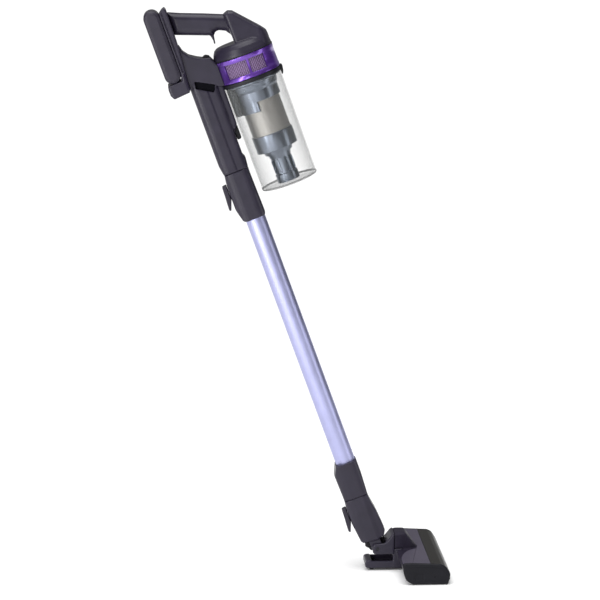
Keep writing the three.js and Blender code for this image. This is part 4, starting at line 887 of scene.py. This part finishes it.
def bent_sheet(name, top_at, below, mat, slot, node, columns=64):
    """Sheet across the head. top_at(x) is its outer face seen from the side, below(line) its inner face."""
    verts, faces = [], []
    for i in range(columns + 1):
        x = -INNER + 2 * INNER * i / columns
        upper = top_at(x)
        n = len(upper)
        verts += [(x, f, h) for f, h in upper] + [(x, f, h) for f, h in below(upper)]
    m = 2 * n
    for i in range(columns):
        a, b = i * m, (i + 1) * m
        for j in range(n - 1):
            faces.append([a + j, b + j, b + j + 1, a + j + 1])
            faces.append([a + n + j + 1, b + n + j + 1, b + n + j, a + n + j])
        faces.append([a, a + n, b + n, b])
        faces.append([a + n - 1, b + n - 1, b + 2 * n - 1, a + 2 * n - 1])
    for a in (0, columns * m):
        for j in range(n - 1):
            faces.append([a + j, a + j + 1, a + n + j + 1, a + n + j])
    build(name, verts, faces, mat, "head", slot, space=HEAD, stands_for=[node], bevel=0.35, sharp=50)


def strip_line(x):
    rear, front = 17.3 - 21.0 * abs(x) / INNER, 29.8
    return [(f, 41.55 - 0.042 * (f + 8)) for f in np.linspace(rear, front, 7)]


bent_sheet("head_deck_strip", strip_line, lambda line: [(f, h - 2.4) for f, h in line], DECK, "grey",
    "head_strip")

window_line = [tuple(p) for p in rounded([(30.4, 39.7), (49, 38.6, 7), (57.8, 34.3, 9), (67.2, 20, 9),
    (66.4, 8)], 10)]
WINDOW_WALL = 2.2


def behind_window(line):
    out = []
    for i, p in enumerate(line):
        a, b = np.array(line[max(i - 1, 0)]), np.array(line[min(i + 1, len(line) - 1)])
        t = (b - a) / np.hypot(*(b - a))
        out.append((p[0] + t[1] * WINDOW_WALL, p[1] - t[0] * WINDOW_WALL))
    return out


bent_sheet("head_front_window", lambda x: window_line, behind_window, SMOKE, "smoke", "head_window",
    columns=24)

trough = poly([(-22.6, 36.2), (-20.4, 22, 15), (-5.8, 2.5, 12), (24, 2.5), (23, 12), (22.4, 36.6),
    (18, 36.6), (18, 6.4, 2), (-4, 6.4, 9), (-16.6, 23, 10), (-19, 36.6, 1)])
tray_side = poly([(-83, 4.6, 4), (-83.2, 19.4, 6), (-71.0, 19.8, 3), (-70.0, 8, 2), (-31, 8, 2), (-31, 30),
    (-28, 41.6, 1.5), (-13, 41.6), (-13, 4.6)])
lug = poly([(-83, 4.6, 4), (-83, 18, 4), (-14, 18), (-14, 4.6)])
WHEEL_BACK = 71.0


def chassis(x, f, h):
    d = slab(trough(f, h), x, INNER, 0.8)
    walls = slab(lug(f, h), np.abs(x) - 22.4, 1.7, 1.2)
    pan = slab(tray_side(f, h), x, 24.0, 2.2)
    tail = smin(walls, pan, 1.5)
    d = smin(d, tail, 2.0)
    tunnel = np.maximum(np.hypot(x, h - PIVOT_UP) - SWIVEL_R, np.abs(f + 20) - 12)
    d = smax(d, -tunnel, 0.4)
    wheels = np.maximum(np.abs(np.abs(x) - 12) - 4.6, np.maximum(np.abs(f + WHEEL_BACK) - 9, h - 17.2))
    d = smax(d, -wheels, 0.4)
    belt = np.maximum(np.abs(x - INNER + 2.7) - 4.4, np.maximum(np.abs(f - 9) - 17, np.abs(h - 20) - 11))
    return smax(d, -belt, 0.4)


mould("head_base_tray", chassis, (-120, -86, 1), (120, 26, 44), grid(1.2), CHARCOAL, "head",
    "charcoal", space=HEAD, stands_for=["head_chassis"])

cheek = poly([(-69.5, 31, 7), (-69.5, 50.6, 6), (-48, 52.2, 5), (-41, 58.2, 4), (-33.6, 67.8, 4),
    (-28.4, 71.4, 1), (-28.4, 31, 1)])


def knuckle(x, f, h):
    d = slab(cheek(f, h), x, 26.0, 2.6)
    yoke = np.maximum(np.abs(x) - 20.6, np.maximum(f + 44, np.abs(h - 40) - 30))
    d = smax(d, -yoke, 1.0)
    r = np.hypot(x, h - PIVOT_UP)
    d = smin(d, np.maximum(r - 15.5, np.abs(f + 29) - 15), 1.0)
    collar_ring = np.maximum(r - 17.4, np.abs(f + 30.6) - 1.6)
    d = smin(d, collar_ring, 0.8)
    d = smax(d, -np.maximum(r - 12.8, np.abs(f + 30) - 18), 0.5)
    return smax(d, -(np.hypot(f + PIVOT_BACK, h - PIVOT_UP) - PIN_HOLE_R), 0.4)


mould("swivel_yoke", knuckle, (-28, -72, 24), (28, -12, 74), FINE, CHARCOAL, "knuckle", "charcoal",
      space=HEAD, stands_for=["swivel_knuckle"])

# roller: a soft pile with a spiral of longer tufts
PILE_R, TUFT, CORE_R, PILE_HALF = 14.6, 1.25, 10.7, 109.5
cols, arc = 110, 72


def pile_ring(x, radius_at):
    return [(x, ROLLER_F + radius_at(a) * math.cos(a), ROLLER_UP + radius_at(a) * math.sin(a))
            for a in (math.tau * j / arc for j in range(arc))]


def quads(first, second):
    """Faces between two rings of points that start at these places in the list."""
    return [[first + j, first + (j + 1) % arc, second + (j + 1) % arc, second + j] for j in range(arc)]


verts = []
for i in range(cols + 1):
    x = -PILE_HALF + 2 * PILE_HALF * i / cols
    end_drop = 1.2 if i in (0, cols) else 0.0
    verts += pile_ring(x, lambda a: PILE_R + TUFT * max(math.cos(2 * (a - x * 0.035)), 0) ** 3 - end_drop)
for x in (-PILE_HALF, PILE_HALF):
    verts += pile_ring(x, lambda a: CORE_R)
left, right = (cols + 1) * arc, (cols + 2) * arc
faces = [face for i in range(cols) for face in quads(i * arc, (i + 1) * arc)]
faces += quads(0, left) + quads(cols * arc, right) + quads(left, right)
build("roller_pile", verts, faces, PILE, "roller", "pile", space=HEAD, stands_for=["brush_pile"], sharp=70)

# sole plate with a slotted front lip and glide strips
sole_side = poly([(-4, 0), (22, 0), (24.9, 1.1, 1), (24.9, 2.2), (-4, 2.2)])
lip_side = poly([(60.9, 0), (63, 0, 0.5), (65.7, 7.6, 0.6), (63.4, 7.6, 0.6), (61, 2.2)])


def sole(x, f, h):
    d = slab(sole_side(f, h), x, INNER, 0.6)
    lip = slab(lip_side(f, h), x, INNER, 0.6)
    d = np.minimum(d, lip)
    side_bars = np.maximum(np.abs(np.abs(x) - 115) - 3.6, np.maximum(np.abs(f - 43) - 19,
        np.abs(h - 1.1) - 1.1))
    d = smin(d, side_bars, 0.4)
    slots = np.maximum(np.abs(np.mod(x + 12.5, 25) - 12.5) - 3.0, np.maximum(np.abs(f - 64) - 6,
        np.abs(h - 7.6) - 3.0))
    return smax(d, -slots, 0.5)


mould("sole_guard", sole, (-121, -6, -1), (121, 68, 9), FINE, GREY, "head", "grey", space=HEAD,
      stands_for=["sole_plate"])

for side, x0 in (("left", -16), ("right", 8)):
    lathe(f"tail_tyre_{side}", [(2.5, x0 + 0.3, 0.3), (5.2, x0 + 0.3, 0.5), (5.8, x0 + 1.0, 0.3),
        (7.0, x0 + 0.2, 1.2), (8.0, x0 + 1.6, 0.8), (7.8, x0 + 4), (8.0, x0 + 6.4, 0.8),
        (7.0, x0 + 7.8, 1.2), (5.8, x0 + 7.0, 0.3), (5.2, x0 + 7.7, 0.5), (2.5, x0 + 7.7, 0.3)], RUBBER,
        f"wheel_{side}", "rubber", centre=-WHEEL_BACK, axis="x", level=8, segments=64, steps=4, space=HEAD,
        stands_for=[f"tail_wheel_{side}"])

# ------------------------------------------------------------------ finishes for the CAD solids that stay
KEPT = {"suction_motor": MOTOR, "motor_mount": RUBBER, "impeller": GUNMETAL, "control_board": BOARD,
    "trigger_pin": STEEL, "battery_terminal": BLACK, "battery_cells": WRAP, "pre_filter": FOAM,
    "neck_lever_pin": STEEL, "wand_lever_pin": STEEL, "pitch_pin_left": PIN, "pitch_pin_right": PIN,
    "brush_core": CHARCOAL_2, "brush_motor": MOTOR, "motor_pulley": STEEL, "drive_belt": RUBBER,
    "wheel_axle": STEEL, }
for node, finish in KEPT.items():
    o = frame["nodes"][node]
    o.data.materials.clear()
    o.data.materials.append(finish)

# ------------------------------------------------------------------ floor, light and camera
def studio_sheet(name, corners, shade, roughness, specular):
    """Flat sheet of the set, in one grey."""
    m, n, _ = new_material(name)
    put(n["Principled BSDF"], Base_Color=(shade, shade, shade, 1), Roughness=roughness,
        Specular_IOR_Level=specular)
    mesh = bpy.data.meshes.new(name)
    mesh.from_pydata(corners, [], [(0, 1, 2, 3)])
    mesh.materials.append(m)
    o = bpy.data.objects.new(name, mesh)
    bpy.context.scene.collection.objects.link(o)
    return o


far, low = 60, -0.0005
studio_sheet("floor", [(-far, -far, low), (far, -far, low), (far, far, low), (-far, far, low)], 0.9, 0.9,
    0.1)

world = bpy.data.worlds.new("studio")
world.use_nodes = True
put(world.node_tree.nodes["Background"], Color=(1, 1, 1, 1), Strength=0.29)
bpy.context.scene.world = world


def aim(o, place, direction):
    o.location = place
    o.rotation_mode = "QUATERNION"
    o.rotation_quaternion = direction.to_track_quat("-Z", "Y")
    bpy.context.scene.collection.objects.link(o)


def lamp(name, kind, place, target, energy, size):
    """A sun, whose size is an angle, or a panel, whose size is its width and height."""
    light = bpy.data.lights.new(name, kind)
    light.energy = energy
    if kind == "SUN":
        light.angle = size
    else:
        light.shape = "RECTANGLE"
        light.size, light.size_y = size
    aim(bpy.data.objects.new(name, light), place, Vector(target) - Vector(place))


middle = (0.0, 0.25, 0.6)
lamp("soft_sun", "SUN", (-0.5, 0.6, 3.0), (0, 0.2, 0), 3.1, math.radians(60))
lamp("side_panel", "AREA", (-1.6, 1.7, 1.0), middle, 26, (0.45, 2.0))
lamp("near_panel", "AREA", (-3.0, 1.15, 0.7), middle, 14, (0.7, 1.6))
lamp("front_panel", "AREA", (-1.0, -2.2, 0.8), middle, 13, (0.8, 1.8))


def card(name, left, right, y, height=3.5):
    """Black card that only reflections see, upright and facing along Y."""
    corners = [(left, y, 0.0), (right, y, 0.0), (right, y, height), (left, y, height)]
    o = studio_sheet(name, corners, 0.01, 0.5, 0.0)
    o.visible_camera = o.visible_diffuse = o.visible_shadow = o.visible_transmission = False


card("front_card", -4.5, 2.5, -3.0)
card("rear_card", -0.6, 3.5, 3.5)

scene = bpy.context.scene
scene.view_settings.view_transform = "Standard"
cam_data = bpy.data.cameras.new("photo_camera")
cam_data.lens, cam_data.sensor_width = 144, 36
cam_data.clip_start, cam_data.clip_end = 0.1, 200
camera = bpy.data.objects.new("photo_camera", cam_data)
tilt, swing = 0.1766, 0.0597  # radians down, and from square on to the side, judged from the photo
look = Vector((math.cos(tilt) * math.cos(swing), -math.cos(tilt) * math.sin(swing), -math.sin(tilt)))
aim(camera, (-4.3942, 0.4685, 1.3031), look)
scene.camera = camera
